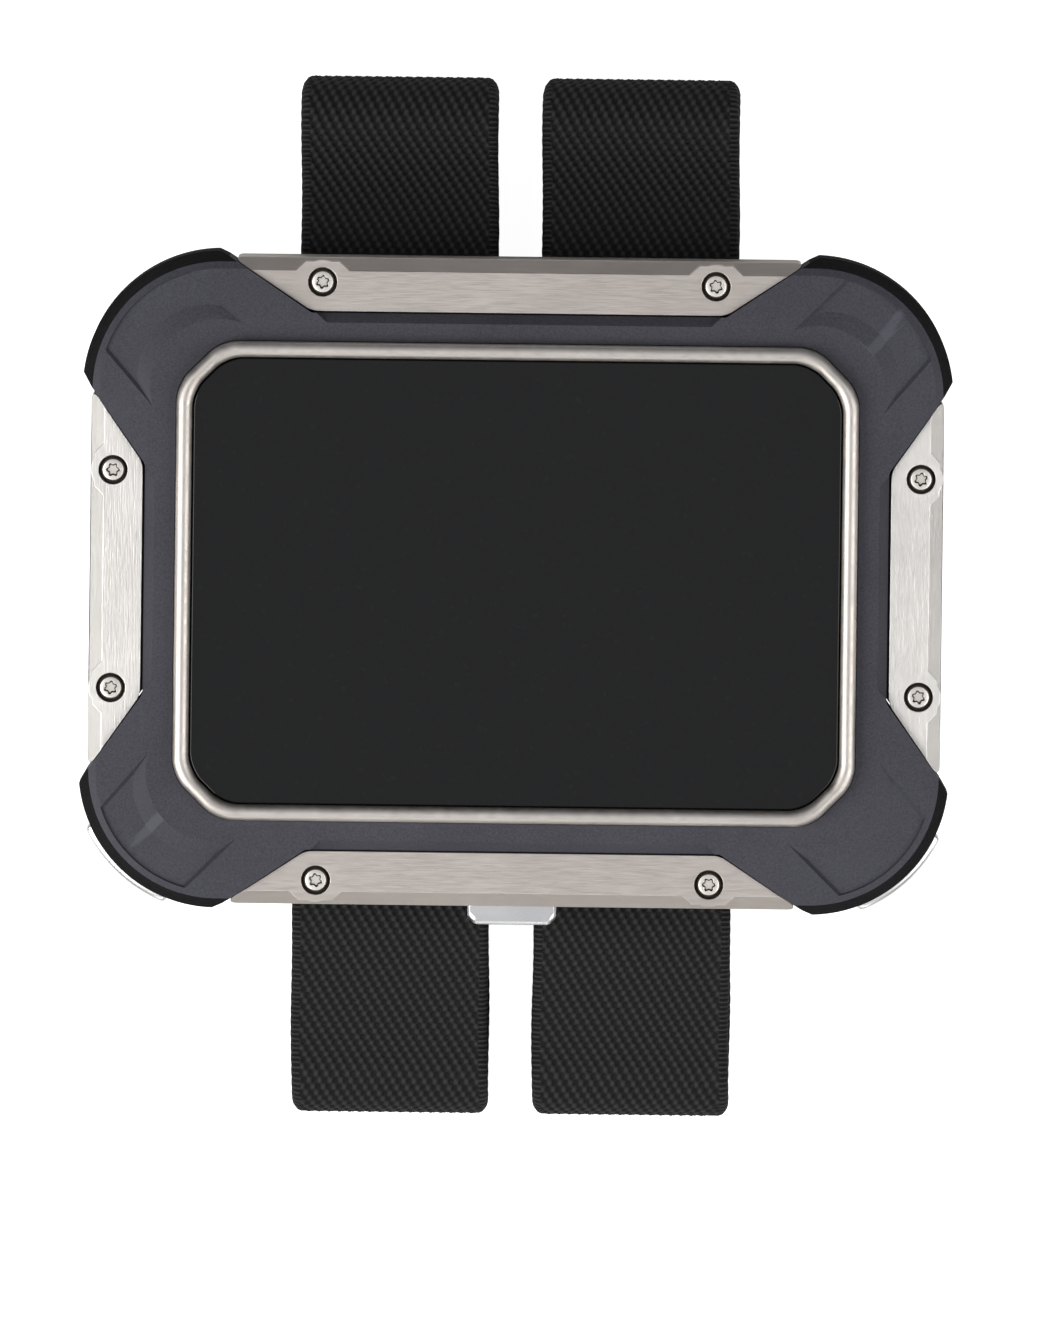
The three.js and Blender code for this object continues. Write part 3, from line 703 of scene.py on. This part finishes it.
guard = {
    "frameTop": 37.0,
    "facet": 1.3,
    "wallTop": 33.4,
    "steps": 36,  # in an ear's arc
    "foot": 1.0,
    # steps of the top, from the wall inwards: across and up
    "crown": [(1.3, 2.66), (0.9, 0.5), (6.1, 0.34)],
    "reachX": 47.1,  # half of the frame round the bezel
    "reachY": 34.0,
    "frameCorner": 9.8,
    "frameBottom": 22,
    "facetFoot": 2.2,
    "facetHead": 0.3,
    # how an ear ends between two plates
    "earTip": [(55.05, 26.1), (wayOut, 34.3), (wayOut, wayOut), (46, 46.1), (38.05, 41.65)],
    "seat": 0.1,  # between the frame and a plate
    "recess": 0.5,
    "padRises": (-1.0, 0.55),
    "padHalf": 7.4,
    "padInner": 10.9,
    "padOuter": 15.15,
    "innerSlope": 4.2,
    "sideSlope": 0.9,
    "gap": 0.1,  # round the bezel
    "core": (45.3, 32.1, 7.3),  # pocket for the housing: half sizes and corner
    "coreGap": 0.3,
}


def crownedBody(lower=0.0):
    # The guard as a whole block: a steep rim all round, and a shallow crown rising to the frame
    bm = bmesh.new()
    bottom = bottomOf("bumper")
    plan = rectangle(ear["x"] + ear["radius"], ear["y"] + ear["radius"], ear["radius"])
    face = outlineFace(bm, plan, bottom, guard["steps"])
    top = extrudeUp(bm, [face], guard["wallTop"] - bottom)
    foot = [e for e in bm.edges if all(v.co.z < bottom + 0.1 for v in e.verts)]
    bmesh.ops.bevel(bm, geom=foot, offset=guard["foot"], affect="EDGES", segments=3, profile=0.5, material=-1)
    for across, up in guard["crown"]:
        bmesh.ops.inset_region(bm, faces=top, thickness=across, depth=up, use_even_offset=True)
    bmesh.ops.translate(bm, verts=bm.verts[:], vec=(0, 0, -lower))
    return newPiece("crown", bm)


def padCutter():
    # A fan-shaped recess with sloping sides, its floor parallel to the crown
    bm = bmesh.new()
    loops = []
    steps = guard["steps"]
    for rise in guard["padRises"]:
        side = guard["padHalf"] + guard["sideSlope"] * rise
        radii = (guard["padOuter"] + guard["sideSlope"] * rise,
                 guard["padInner"] - guard["innerSlope"] * rise)
        points = []
        for radius, way in zip(radii, (1, -1)):
            spread = math.asin(side / radius)
            for k in range(steps + 1):
                angle = ear["lean"] + way * spread * (2 * k / steps - 1)
                points.append((ear["x"] + radius * math.cos(angle), ear["y"] + radius * math.sin(angle)))
        face = outlineFace(bm, points, guard["frameTop"] - guard["recess"] + rise)
        loops += face.edges[:]
    bmesh.ops.bridge_loops(bm, edges=loops)
    bmesh.ops.recalc_face_normals(bm, faces=bm.faces[:])
    return combine(newPiece("padCutter", bm), [crownedBody(guard["recess"])])


def facetCutter(half, reach):
    # Takes the frame's edge off along one side, running out towards the plate's corners
    leg = guard["facet"]
    foot, head = half - guard["facetFoot"], half + guard["facetHead"]
    plan = [(-foot, reach - leg), (foot, reach - leg), (head, reach + 1), (-head, reach + 1)]
    return combine(edgeBar(leg, reach, guard["frameTop"]), [slab(plan, *through)], "INTERSECT")


def makeGuard():
    reachX, reachY, seat = guard["reachX"], guard["reachY"], guard["seat"]
    wedge = [
        (reachX - 2, sidePlate["innerHalf"] - 5), (sidePlate["inner"] - seat, sidePlate["innerHalf"]),
        (sidePlate["outer"], sidePlate["outerHalf"]), *guard["earTip"],
        (longPlate["outerHalf"], longPlate["outer"]), (longPlate["innerHalf"], longPlate["inner"] - seat),
        (longPlate["innerHalf"] - 5, reachY - 2),
    ]
    ears = [slab([(sx * x, sy * y) for x, y in wedge], *through) for sx in (-1, 1) for sy in (-1, 1)]
    block = slab(rectangle(reachX, reachY, guard["frameCorner"]), guard["frameBottom"], through[1], 10)
    piece = combine(crownedBody(), [combine(block, ears, "UNION")], "INTERSECT")
    blockTop = topOf("plate_top") - plateMake["thickness"]
    for quarter in range(4):
        p, reach = ((longPlate, reachY), (sidePlate, reachX))[quarter % 2]
        inner, outer = reach - 3, p["outer"] - plateMake["skirt"]
        near, far = plateHalf(p, inner), plateHalf(p, outer)
        plan = [(near, inner), (far, outer), (-far, outer), (-near, inner)]
        cutters = [facetCutter(p["innerHalf"], reach), slab(plan, through[0], blockTop)]
        for cutter in cutters:
            cutter.data.transform(Matrix.Rotation(quarter * math.pi / 2, 4, "Z"))
        combine(piece, cutters)
    pad = padCutter()
    pads = [mirrored(pad, sx, sy) for sx, sy in ((-1, 1), (-1, -1), (1, -1))]
    combine(piece, [pad, *pads])
    gap = guard["gap"]
    opening = cutRectangle(bezel["halfX"] + gap, bezel["halfY"] + gap, bezel["cut"], bezel["radius"])
    core = slab(rectangle(*guard["core"]), through[0], topOf("housing") + guard["coreGap"])
    combine(piece, [slab(opening, *through), core])
    (near, far), wide, tall = buttonWindow["reach"], buttonWindow["corner"], buttonWindow["half"]
    for side, angle in ((-1, math.pi + ear["lean"]), (1, -ear["lean"])):
        window = crate((near, -wide, -tall), (far, wide, tall))
        window.data.transform(Matrix.Translation((side * ear["x"], -ear["y"], buttonWindow["height"]))
                              @ Matrix.Rotation(angle, 4, "Z"))
        combine(piece, [window])
    settle(piece, "rubber_guard", [guardRubber, shadedGripRubber], "bumper", smooth=2.6)
    # the ears' side walls take the second material, the guard's rubber darkened to paint their shade
    for face in piece.data.polygons:
        spot = (face.center - caseMiddle) / mm
        out = Vector((abs(spot.x) - ear["x"], abs(spot.y) - ear["y"]))
        if min(out) > -3 and out.length > guard["padOuter"] + 0.5 and abs(face.normal.z) < 0.75:
            face.material_index = 1  # the ears' side walls


plateMake = {
    "thickness": 2.2,
    "skirt": 1.1,
    "chamfer": 1.7,
    "boss": 2.8,
    "flareFoot": 3.4,  # where a boss runs out into the chamfer
    "flareHead": 2.1,
    "flareRise": 1.2,
    "edge": 0.09,
    "endGap": 0.12,
    "screwBore": 1.85,
    "boreDepth": 1.2,
    "shankBore": 1.1,
    "outerCorner": 0.5,
    "innerCorner": 2.6,
}


def makePlate(node, p, turn, opening=None):
    top, bottom = topOf("plate_top"), bottomOf("plate_top")
    near, far = p["innerHalf"] - plateMake["endGap"], p["outerHalf"] - plateMake["endGap"]
    tip, bend = plateMake["outerCorner"], plateMake["innerCorner"]
    plan = [(far, p["outer"], tip), (-far, p["outer"], tip),
            (-near, p["inner"], bend), (near, p["inner"], bend)]
    piece = slab(plan, bottom, top, 6)
    leg = plateMake["chamfer"]
    chamfer = edgeBar(leg, p["outer"], top)
    shoulder = p["outer"] - leg
    foot, head, rise = plateMake["flareFoot"], plateMake["flareHead"], plateMake["flareRise"]
    under = top - plateMake["thickness"]
    hollow = crate((-wayOut, p["inner"] - 4, 0), (wayOut, p["outer"] - plateMake["skirt"], under))
    bores, spots = [], []
    for side in (-1, 1):
        x, y = side * p["screw"][0], p["screw"][1]
        flare = [(x + foot, shoulder - 1), (x - foot, shoulder - 1), (x - foot, shoulder),
                 (x - head, shoulder + rise), (x + head, shoulder + rise), (x + foot, shoulder)]
        combine(chamfer, [drum(x, y, plateMake["boss"], top - 6, top + 6, 64), slab(flare, top - 6, top + 6)])
        bores.append(drum(x, y, plateMake["screwBore"], top - plateMake["boreDepth"], top + 3, 40))
        bores.append(drum(x, y, plateMake["shankBore"], 20, top + 3, 24))
        spots.append(Matrix.Rotation(turn, 2) @ Vector((x, y)) + caseMiddle.xy / mm)
    combine(piece, [chamfer, hollow, *bores])
    if opening:
        low, high = (buttonWindow["height"] + way * buttonWindow["half"] for way in (-1, 1))
        combine(piece, [crate((-opening, p["outer"] - 3, low), (opening, p["outer"] + 3, high))])
    soften(piece, plateMake["edge"], 2, 28)
    piece.data.transform(Matrix.Rotation(turn, 4, "Z"))
    # one titanium: the side plates' paler colour is painted light and the long plates' darker colour painted
    # shade, while the brushing follows each plate's length
    metal = litSideTitanium if p is sidePlate else shadedLongTitanium
    settle(piece, node + "_finished", [metal, boreShadow], node)
    paintBoreShade(piece, spots, plateMake["screwBore"] + 0.02, top - 0.12)


screw = {
    "head": 1.5,
    "height": 0.95,
    "dome": [(0.42, 0), (0.2, 0.05), (0.05, 0.2), (0, 0.4)],  # in from the rim, down from the top
    "shank": 0.8,
    "length": 5.5,
    "socket": 0.76,
    "lobe": 0.12,
    "depth": 0.5,
    "taper": (0.8, 1.35),
    "turn": 0.7,  # radians, from each screw to the next
}


def makeScrewShape():
    bm = bmesh.new()
    r, h = screw["head"], screw["height"]
    profile = [(0, h), *((r - inwards, h - down) for inwards, down in screw["dome"]), (r, 0),
               (screw["shank"], 0), (screw["shank"], -screw["length"]), (0, -screw["length"])]
    verts = [bm.verts.new((x, 0, z)) for x, z in profile]
    edges = [bm.edges.new(pair) for pair in zip(verts, verts[1:])]
    bmesh.ops.spin(bm, geom=verts + edges, cent=(0, 0, 0), axis=(0, 0, 1), angle=2 * math.pi, steps=40,
                   use_merge=True)
    bmesh.ops.remove_doubles(bm, verts=bm.verts[:], dist=0.001)
    bmesh.ops.recalc_face_normals(bm, faces=bm.faces[:])
    piece = newPiece("screw", bm)
    star = bmesh.new()
    bmesh.ops.create_circle(star, cap_ends=True, segments=48, radius=1)
    for vert in star.verts:
        angle = math.atan2(vert.co.y, vert.co.x)
        vert.co *= screw["socket"] + screw["lobe"] * math.cos(6 * angle)
    bmesh.ops.translate(star, verts=star.verts[:], vec=(0, 0, h - screw["depth"]))
    tops = extrudeUp(star, star.faces[:], screw["depth"] * 1.2)
    small, wide = screw["taper"]
    bmesh.ops.scale(star, vec=(wide, wide, 1), verts=list({v for f in tops for v in f.verts}))
    bmesh.ops.scale(star, vec=(small, small, 1), verts=star.verts[:])
    combine(piece, [newPiece("star", star)])
    return soften(piece, 0.03, 1, 50)


def makeScrews():
    shape = makeScrewShape()
    for number in range(1, 9):
        node = f"plate_screw_{number}"
        low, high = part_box(node)
        middle = (low + high) / 2
        piece = shape.copy()
        piece.data = shape.data.copy()
        bpy.context.scene.collection.objects.link(piece)
        piece.data.transform(Matrix.Translation((middle.x, middle.y, high.z))
                             @ Matrix.Rotation(screw["turn"] * number, 4, "Z") @ Matrix.Scale(mm, 4)
                             @ Matrix.Translation((0, 0, -screw["height"])))
        settle(piece, node + "_finished", [screwSteel, boreShadow], node, matrix=Matrix())
        paintBoreShade(piece, [middle.xy / mm], screw["socket"] + screw["lobe"], high.z / mm - 0.02, 0.95)
    bpy.data.objects.remove(shape)


bezel = {
    "halfX": 43.2,
    "halfY": 30.35,
    "cut": 5.6,
    "radius": 5.2,
    "width": 2.0,
    "innerCut": 4.3,
    "innerRadius": 5.0,
    "round": 0.95,
    "steps": 16,  # over the top of its section
    "glassGap": 0.15,
    "glassEdge": 0.3,
}


def ringRim(inset, cut, radius):
    bm = bmesh.new()
    face = outlineFace(bm, cutRectangle(bezel["halfX"] - inset, bezel["halfY"] - inset, cut, radius), 0, 12)
    rim = [v.co.xy for v in face.verts]
    bm.free()
    start = min(range(len(rim)), key=lambda i: rim[i].x + 0.01 * rim[i].y)
    return rim[start:] + rim[:start]


def makeBezel():
    # A half-round section carried round between the outer and the inner outline
    low, high, r = bottomOf("bezel_ring"), topOf("bezel_ring"), bezel["round"]
    arc = [math.pi * k / bezel["steps"] for k in range(bezel["steps"] + 1)]
    section = [(0, low), *((0.5 - 0.5 * math.cos(a), high - r + r * math.sin(a)) for a in arc), (1, low)]
    outer = ringRim(0, bezel["cut"], bezel["radius"])
    inner = ringRim(bezel["width"], bezel["innerCut"], bezel["innerRadius"])
    bm = bmesh.new()
    loops = []
    for part, z in section:
        verts = [bm.verts.new((*a.lerp(b, part), z)) for a, b in zip(outer, inner)]
        loops.append([bm.edges.new((verts[k - 1], verts[k])) for k in range(len(verts))])
    for k in range(len(loops)):
        bmesh.ops.bridge_loops(bm, edges=loops[k - 1] + loops[k])
    bmesh.ops.recalc_face_normals(bm, faces=bm.faces[:])
    piece = newPiece("ring", bm)
    settle(piece, "bezel_ring_finished", [bezelTitanium], "bezel_ring", smooth=50)


def makeGlassPane():
    inset = bezel["width"] + bezel["glassGap"]
    plan = cutRectangle(bezel["halfX"] - inset, bezel["halfY"] - inset, bezel["innerCut"],
                        bezel["innerRadius"])
    piece = slab(plan, bottomOf("display_glass"), topOf("display_glass"), 12, bezel["glassEdge"])
    settle(piece, "display_glass_finished", [displayGlass], "display_glass")


strap = {
    "width": 25.0,
    "thick": 2.0,
    "foldTop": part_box("strap_left")[1].y / mm - caseMiddle.y / mm,
    "foldBottom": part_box("strap_left")[0].y / mm - caseMiddle.y / mm,
    "foldRadius": 5.5,  # of the middle of the webbing
    "ease": 7,  # how far the webbing runs on level out of a fold or off the case
    "levelTo": 40.2,
    "top": 16.0,
    "showsFrom": 36.2,
    "foldsFrom": 56,
    "hiddenBelow": 3,
    "fine": 0.26,  # grid in the stretches that show
    "coarse": 0.7,
    "relief": 0.13,
    "backRelief": -0.6,  # shares of it
    "edgeRelief": 0.3,
    "ribDepth": 0.05,
    "rounding": 0.85,  # of an edge, in half thicknesses
    "edgeSteps": 6,
    "edgeRun": 0.3,  # of the pattern at each step
    "backShift": 2,
    "pinch": 0.4,  # how much narrower a fold is, on each side
    "pinchFade": 0.35,
    "sway": (0.12, 9.0),  # width and length of the webbing's wander
    "ripple": (0.06, 3.1),
}


def loopPath():
    # The middle of the webbing in the Y-Z plane, once round from the middle of the rear layer
    r, half = strap["foldRadius"], strap["thick"] / 2
    z = r + half
    upper, lower = strap["foldTop"] - z, strap["foldBottom"] + z
    level, top, ease = strap["levelTo"], strap["top"], strap["ease"]
    points = [Vector((0, half))]

    def fold(y, start):
        steps = 40
        for k in range(steps + 1):
            angle = start + math.pi * k / steps
            points.append(Vector((y + r * math.cos(angle), z + r * math.sin(angle))))

    def slope(*knots):
        made = interpolate_bezier(*[Vector((a, b, 0)) for a, b in knots], 40)
        points.extend(p.to_2d() for p in made[1:])

    fold(upper, -math.pi / 2)
    slope((upper, z + r), (upper - ease, z + r), (level + ease, top), (level, top))
    slope((level, top), (level / 3, top), (-level / 3, top), (-level, top))
    slope((-level, top), (-level - ease, top), (lower + ease, z + r), (lower, z + r))
    fold(lower, math.pi / 2)
    points.append(Vector((0, half)))
    return points


def walk(points):
    lengths = [0.0]
    for a, b in zip(points, points[1:]):
        lengths.append(lengths[-1] + (b - a).length)
    return lengths


def rowsAlong(points, lengths):
    # Close rows where the webbing shows beyond the case, and on the folds
    rows = [0.0]
    at, index = 0.0, 0
    while at < lengths[-1]:
        while index < len(lengths) - 2 and lengths[index + 1] < at:
            index += 1
        here = points[index]
        beyond = abs(here.x) > strap["showsFrom"]
        shows = beyond and (here.y > strap["hiddenBelow"] or abs(here.x) > strap["foldsFrom"])
        at += strap["fine"] if shows else strap["coarse"]
        rows.append(min(at, lengths[-1]))
    return rows


def weaveHeight(across, along, ribEdge):
    edge = strap["width"] / 2 - abs(across)
    selvedge = ribEdge if across > 0 else weave["selvedge"]
    if edge < selvedge:
        return 0.5 * math.cos(2 * math.pi * along / weave["rib"])
    strong = math.cos(2 * math.pi * (weave["steep"] * along - weave["wales"] * across))
    light = math.cos(2 * math.pi * (weave["shallow"] * along + weave["wales"] * across))
    return weave["share"] * strong + (1 - weave["share"]) * light


def makeStrap(node, ribEdge):
    points = loopPath()
    lengths = walk(points)
    rows = rowsAlong(points, lengths)
    half, thin = strap["width"] / 2, strap["thick"] / 2
    bend = thin * strap["rounding"]
    flat = strap["width"] - 2 * bend
    columns = round(flat / strap["fine"])
    outer = [-half + bend + flat * k / columns for k in range(columns + 1)]

    # Once round the section: place across, place outwards, share of the relief, place on the map
    def roundEdge(way):
        middle = way * (half - bend)
        for k in range(1, strap["edgeSteps"]):
            angle = way * math.pi / 2 - math.pi * k / strap["edgeSteps"]
            cross.append((middle + bend * math.cos(angle), thin * math.sin(angle), strap["edgeRelief"],
                          middle + way * strap["edgeRun"] * k))

    cross = [(u, thin, 1.0, u) for u in outer]
    roundEdge(1)
    cross += [(-u, -thin, strap["backRelief"], u + strap["backShift"]) for u in outer[::4]]
    roundEdge(-1)
    cross.append(cross[0])

    centre = centreOf(node)
    bm = bmesh.new()
    countV, countU = len(rows) - 1, len(cross) - 1
    bmesh.ops.create_grid(bm, x_segments=countV, y_segments=countU, size=0.5)
    uvLayer = bm.loops.layers.uv.new("strapMap")
    place = {}
    segment = 0
    frames = []
    for at in rows:
        while segment < len(lengths) - 2 and lengths[segment + 1] < at:
            segment += 1
        a, b = points[segment], points[segment + 1]
        part = (at - lengths[segment]) / max(lengths[segment + 1] - lengths[segment], 1e-9)
        before, after = points[max(segment - 1, 0)], points[min(segment + 2, len(points) - 1)]
        along = ((b - before).normalized() * (1 - part) + (after - a).normalized() * part).normalized()
        here = a.lerp(b, part)
        tip = min(strap["foldTop"] - here.x, here.x - strap["foldBottom"]) - thin
        narrow = strap["pinch"] * math.exp(-(max(tip, 0) / strap["pinchFade"]) ** 1.3)
        (wander, slow), (shake, quick) = strap["sway"], strap["ripple"]
        sway = wander * math.sin(at / slow + centre) + shake * math.sin(at / quick)
        frames.append((here, Vector((along.y, -along.x)), at, narrow, sway))
    frames[-1] = frames[0]
    for vert in bm.verts:
        i, j = round((vert.co.x + 0.5) * countV), round((vert.co.y + 0.5) * countU)
        place[vert.index] = (i, j)
        here, normal, at, narrow, sway = frames[i]
        u, out, relief, uvAcross = cross[j]
        raised, aside = 0.0, 0.0
        if relief == strap["edgeRelief"]:
            aside = math.copysign(strap["ribDepth"] * math.cos(2 * math.pi * at / weave["rib"]), u)
        else:
            height = strap["relief"] * relief * weaveHeight(uvAcross, at, ribEdge)
            raised = math.copysign(1, out) * height
        spot = here + normal * (out + raised)
        x = u * (1 - narrow / half) + sway + aside
        vert.co = (centre + x, spot.x, max(spot.y, 0.02))
    for face in bm.faces:
        for loop in face.loops:
            i, j = place[loop.vert.index]
            loop[uvLayer].uv = (cross[j][3], rows[i])
    bmesh.ops.remove_doubles(bm, verts=bm.verts[:], dist=0.004)
    bmesh.ops.recalc_face_normals(bm, faces=bm.faces[:])
    piece = newPiece("strap", bm)
    settle(piece, node + "_woven", [elasticWebbing], node, smooth=80)


overlap = {
    "half": 15.0,
    "inset": 0.1,
    "top": 4.0,
    "grid": 0.4,
    "hem": 0.7,
    "drop": 0.7,
    "relief": 0.1,
    "sink": 0.2,  # into the layer under it
}


def makeOverlap(node):
    # The webbing's end, doubled over the rear layer, with its cut edge pressed down
    centre = centreOf(node)
    halfX, halfY = strap["width"] / 2 - overlap["inset"], overlap["half"]
    across, along = round(2 * halfX / overlap["grid"]), round(2 * halfY / overlap["grid"])
    bm = bmesh.new()
    bmesh.ops.create_grid(bm, x_segments=across, y_segments=along, size=1,
                          matrix=Matrix.Diagonal((halfX, halfY, 1, 1)))
    uvLayer = bm.loops.layers.uv.new("strapMap")
    for face in bm.faces:
        for loop in face.loops:
            loop[uvLayer].uv = loop.vert.co.xy
    for vert in bm.verts:
        x, y = vert.co.xy
        edge = min(halfX - abs(x), halfY - abs(y), overlap["hem"]) / overlap["hem"]
        drop = overlap["drop"] * (1 - math.sqrt(1 - (1 - edge) ** 2))
        relief = overlap["relief"] * (1 - weaveHeight(x, y, weave["selvedge"]))
        vert.co.z = overlap["top"] - relief - drop
    rim = [e for e in bm.edges if e.is_boundary]
    made = bmesh.ops.extrude_edge_only(bm, edges=rim)["geom"]
    for vert in made:
        if isinstance(vert, bmesh.types.BMVert):
            vert.co.z = strap["thick"] - overlap["sink"]
    bmesh.ops.holes_fill(bm, edges=[e for e in made if isinstance(e, bmesh.types.BMEdge)], sides=0)
    bmesh.ops.recalc_face_normals(bm, faces=bm.faces[:])
    bmesh.ops.translate(bm, verts=bm.verts[:], vec=(centre, 0, 0))
    piece = newPiece("overlap", bm)
    settle(piece, node + "_overlap", [elasticWebbing], node, stands=False, smooth=80)


seam = {
    "insetX": 2.4,
    "insetY": 2.6,
    "stitch": 2.3,
    "pitch": 2.9,
    "thread": 0.24,
    "height": 0.11,
    "sink": 0.04,
}


def makeStitching(node):
    # A box with a cross in it, sewn through both layers
    centre = centreOf(node)
    x, y = strap["width"] / 2 - seam["insetX"], overlap["half"] - seam["insetY"]
    corners = [Vector((-x, -y)), Vector((x, -y)), Vector((x, y)), Vector((-x, y))]
    lines = [(corners[k], corners[k - 1]) for k in range(4)]
    lines += [(corners[0], corners[2]), (corners[1], corners[3])]
    bm = bmesh.new()
    for start, end in lines:
        count = round((end - start).length / seam["pitch"])
        turn = Matrix.Rotation(math.atan2(end.y - start.y, end.x - start.x), 4, "Z")
        shape = turn @ Matrix.Diagonal((seam["stitch"] / 2, seam["thread"], seam["height"], 1))
        for k in range(count):
            spot = start.lerp(end, (k + 0.5) / count)
            for z in (overlap["top"] - seam["sink"], seam["height"]):
                place = Matrix.Translation((centre + spot.x, spot.y, z))
                bmesh.ops.create_icosphere(bm, subdivisions=2, radius=1, matrix=place @ shape)
    piece = newPiece("stitching", bm)
    settle(piece, node + "_stitching", [sewingThread], node, stands=False, evenFaces=False)


grainEffect = makeGrainEffect()
brushEffect = makeBrushEffect()
wearEffect = makeWearEffect()
weaveEffect = makeWeaveEffect()

guardRubber = makeRubber("guardRubber", dark=(0.028, 0.028, 0.036), light=(0.053, 0.053, 0.067), grain=0.24,
                         depth=0.04, rough=0.6)
# the same rubber as the guard with a rougher grip grain, its much darker colour a painted shade for the ears'
# side walls
shadedGripRubber = makeRubber("shadedGripRubber", dark=(0.002, 0.002, 0.0025), light=(0.011, 0.011, 0.012), grain=0.5,
                        depth=0.14, rough=0.8, gloss=0.08)
# the two plate titaniums differ in colour as painted light and painted shade; their brush directions are real
shadedLongTitanium = makeBrushedMetal("shadedLongTitanium", dark=(0.55, 0.50, 0.46), light=(0.62, 0.57, 0.53),
                                stretch=(400, 8000, 8000), rough=0.4, lineDepth=0.016)
litSideTitanium = makeBrushedMetal("litSideTitanium", dark=(0.67, 0.65, 0.625), light=(0.75, 0.73, 0.70),
                                stretch=(8000, 400, 8000), rough=0.45, lineDepth=0.045)
bezelTitanium = makeBrushedMetal("bezelTitanium", dark=(0.52, 0.485, 0.455), light=(0.60, 0.565, 0.53),
                                 stretch=(900, 900, 900), rough=0.46, lineDepth=0.004)
screwSteel = makePolishedSteel("screwSteel", (0.86, 0.82, 0.76), rough=0.36)
boreShadow = makePolishedSteel("boreShadow", (0.06, 0.052, 0.045), rough=0.5)
buttonSteel = makePolishedSteel("buttonSteel", (0.9, 0.9, 0.9), rough=0.24)
displayGlass = makeGlass()
blackMoulding = makePlastic("blackMoulding", (0.018, 0.018, 0.019), rough=0.5)
sealRubber = makePlastic("sealRubber", (0.008, 0.008, 0.009), rough=0.55, grain=0.4)
displayBlack = makePlastic("displayBlack", (0.006, 0.006, 0.007), rough=0.25)
boardGreen = makePlastic("boardGreen", (0.01, 0.08, 0.035), rough=0.4)
goldPlate = makePolishedSteel("goldPlate", (0.8, 0.6, 0.25), rough=0.2)
cellCan = makePolishedSteel("cellCan", (0.6, 0.62, 0.64), rough=0.4)
elasticWebbing = makeWebbing()
sewingThread = makePlastic("sewingThread", (0.02, 0.02, 0.021), rough=0.6, grain=0.15)

slotFinish = {
    "rubber_guard": guardRubber,
    "moulding": blackMoulding,
    "seal": sealRubber,
    "screw_steel": screwSteel,
    "plate_titanium": shadedLongTitanium,
    "bezel_titanium": bezelTitanium,
    "button_steel": buttonSteel,
    "display_glass": displayGlass,
    "display_panel": displayBlack,
    "board": boardGreen,
    "cell": cellCan,
    "contact_gold": goldPlate,
    "webbing": elasticWebbing,
}


def finishCadNodes():
    for entry in frame["record"]["subparts"]:
        node = frame["nodes"][entry["node"]]
        finish = slotFinish[entry["material_slot"]]
        if not node.material_slots:
            node.data.materials.append(finish)
        for slot in node.material_slots:
            slot.material = finish


edges = {"buttonCap": 0.3, "capFront": 3.5, "rearCover": 0.15, "housing": 0.12, "sensorCap": 0.1, "bar": 0.12}

finishCadNodes()
makeStudio()
print("studio and finishes ready")
makeGuard()
print("rubber guard made")
makePlate("plate_top", longPlate, 0)
makePlate("plate_left", sidePlate, math.pi / 2)
makePlate("plate_bottom", longPlate, math.pi, buttonWindow["centre"])
makePlate("plate_right", sidePlate, -math.pi / 2)
makeScrews()
print("plates and screws made")
makeBezel()
makeGlassPane()
for side in ("left", "centre", "right"):
    refined(f"button_cap_{side}", edges["buttonCap"], buttonSteel, 3, front=edges["capFront"])
refined("rear_cover", edges["rearCover"], blackMoulding)
refined("housing", edges["housing"], blackMoulding)
refined("sensor_cap", edges["sensorCap"], shadedLongTitanium)
for end in ("top", "bottom"):
    refined(f"strap_bar_{end}", edges["bar"], screwSteel)
print("bezel, glass, buttons and rear made")
makeStrap("strap_left", weave["selvedge"])
makeStrap("strap_right", weave["wideSelvedge"])
for node in ("strap_left", "strap_right"):
    makeOverlap(node)
    makeStitching(node)
print("straps made")
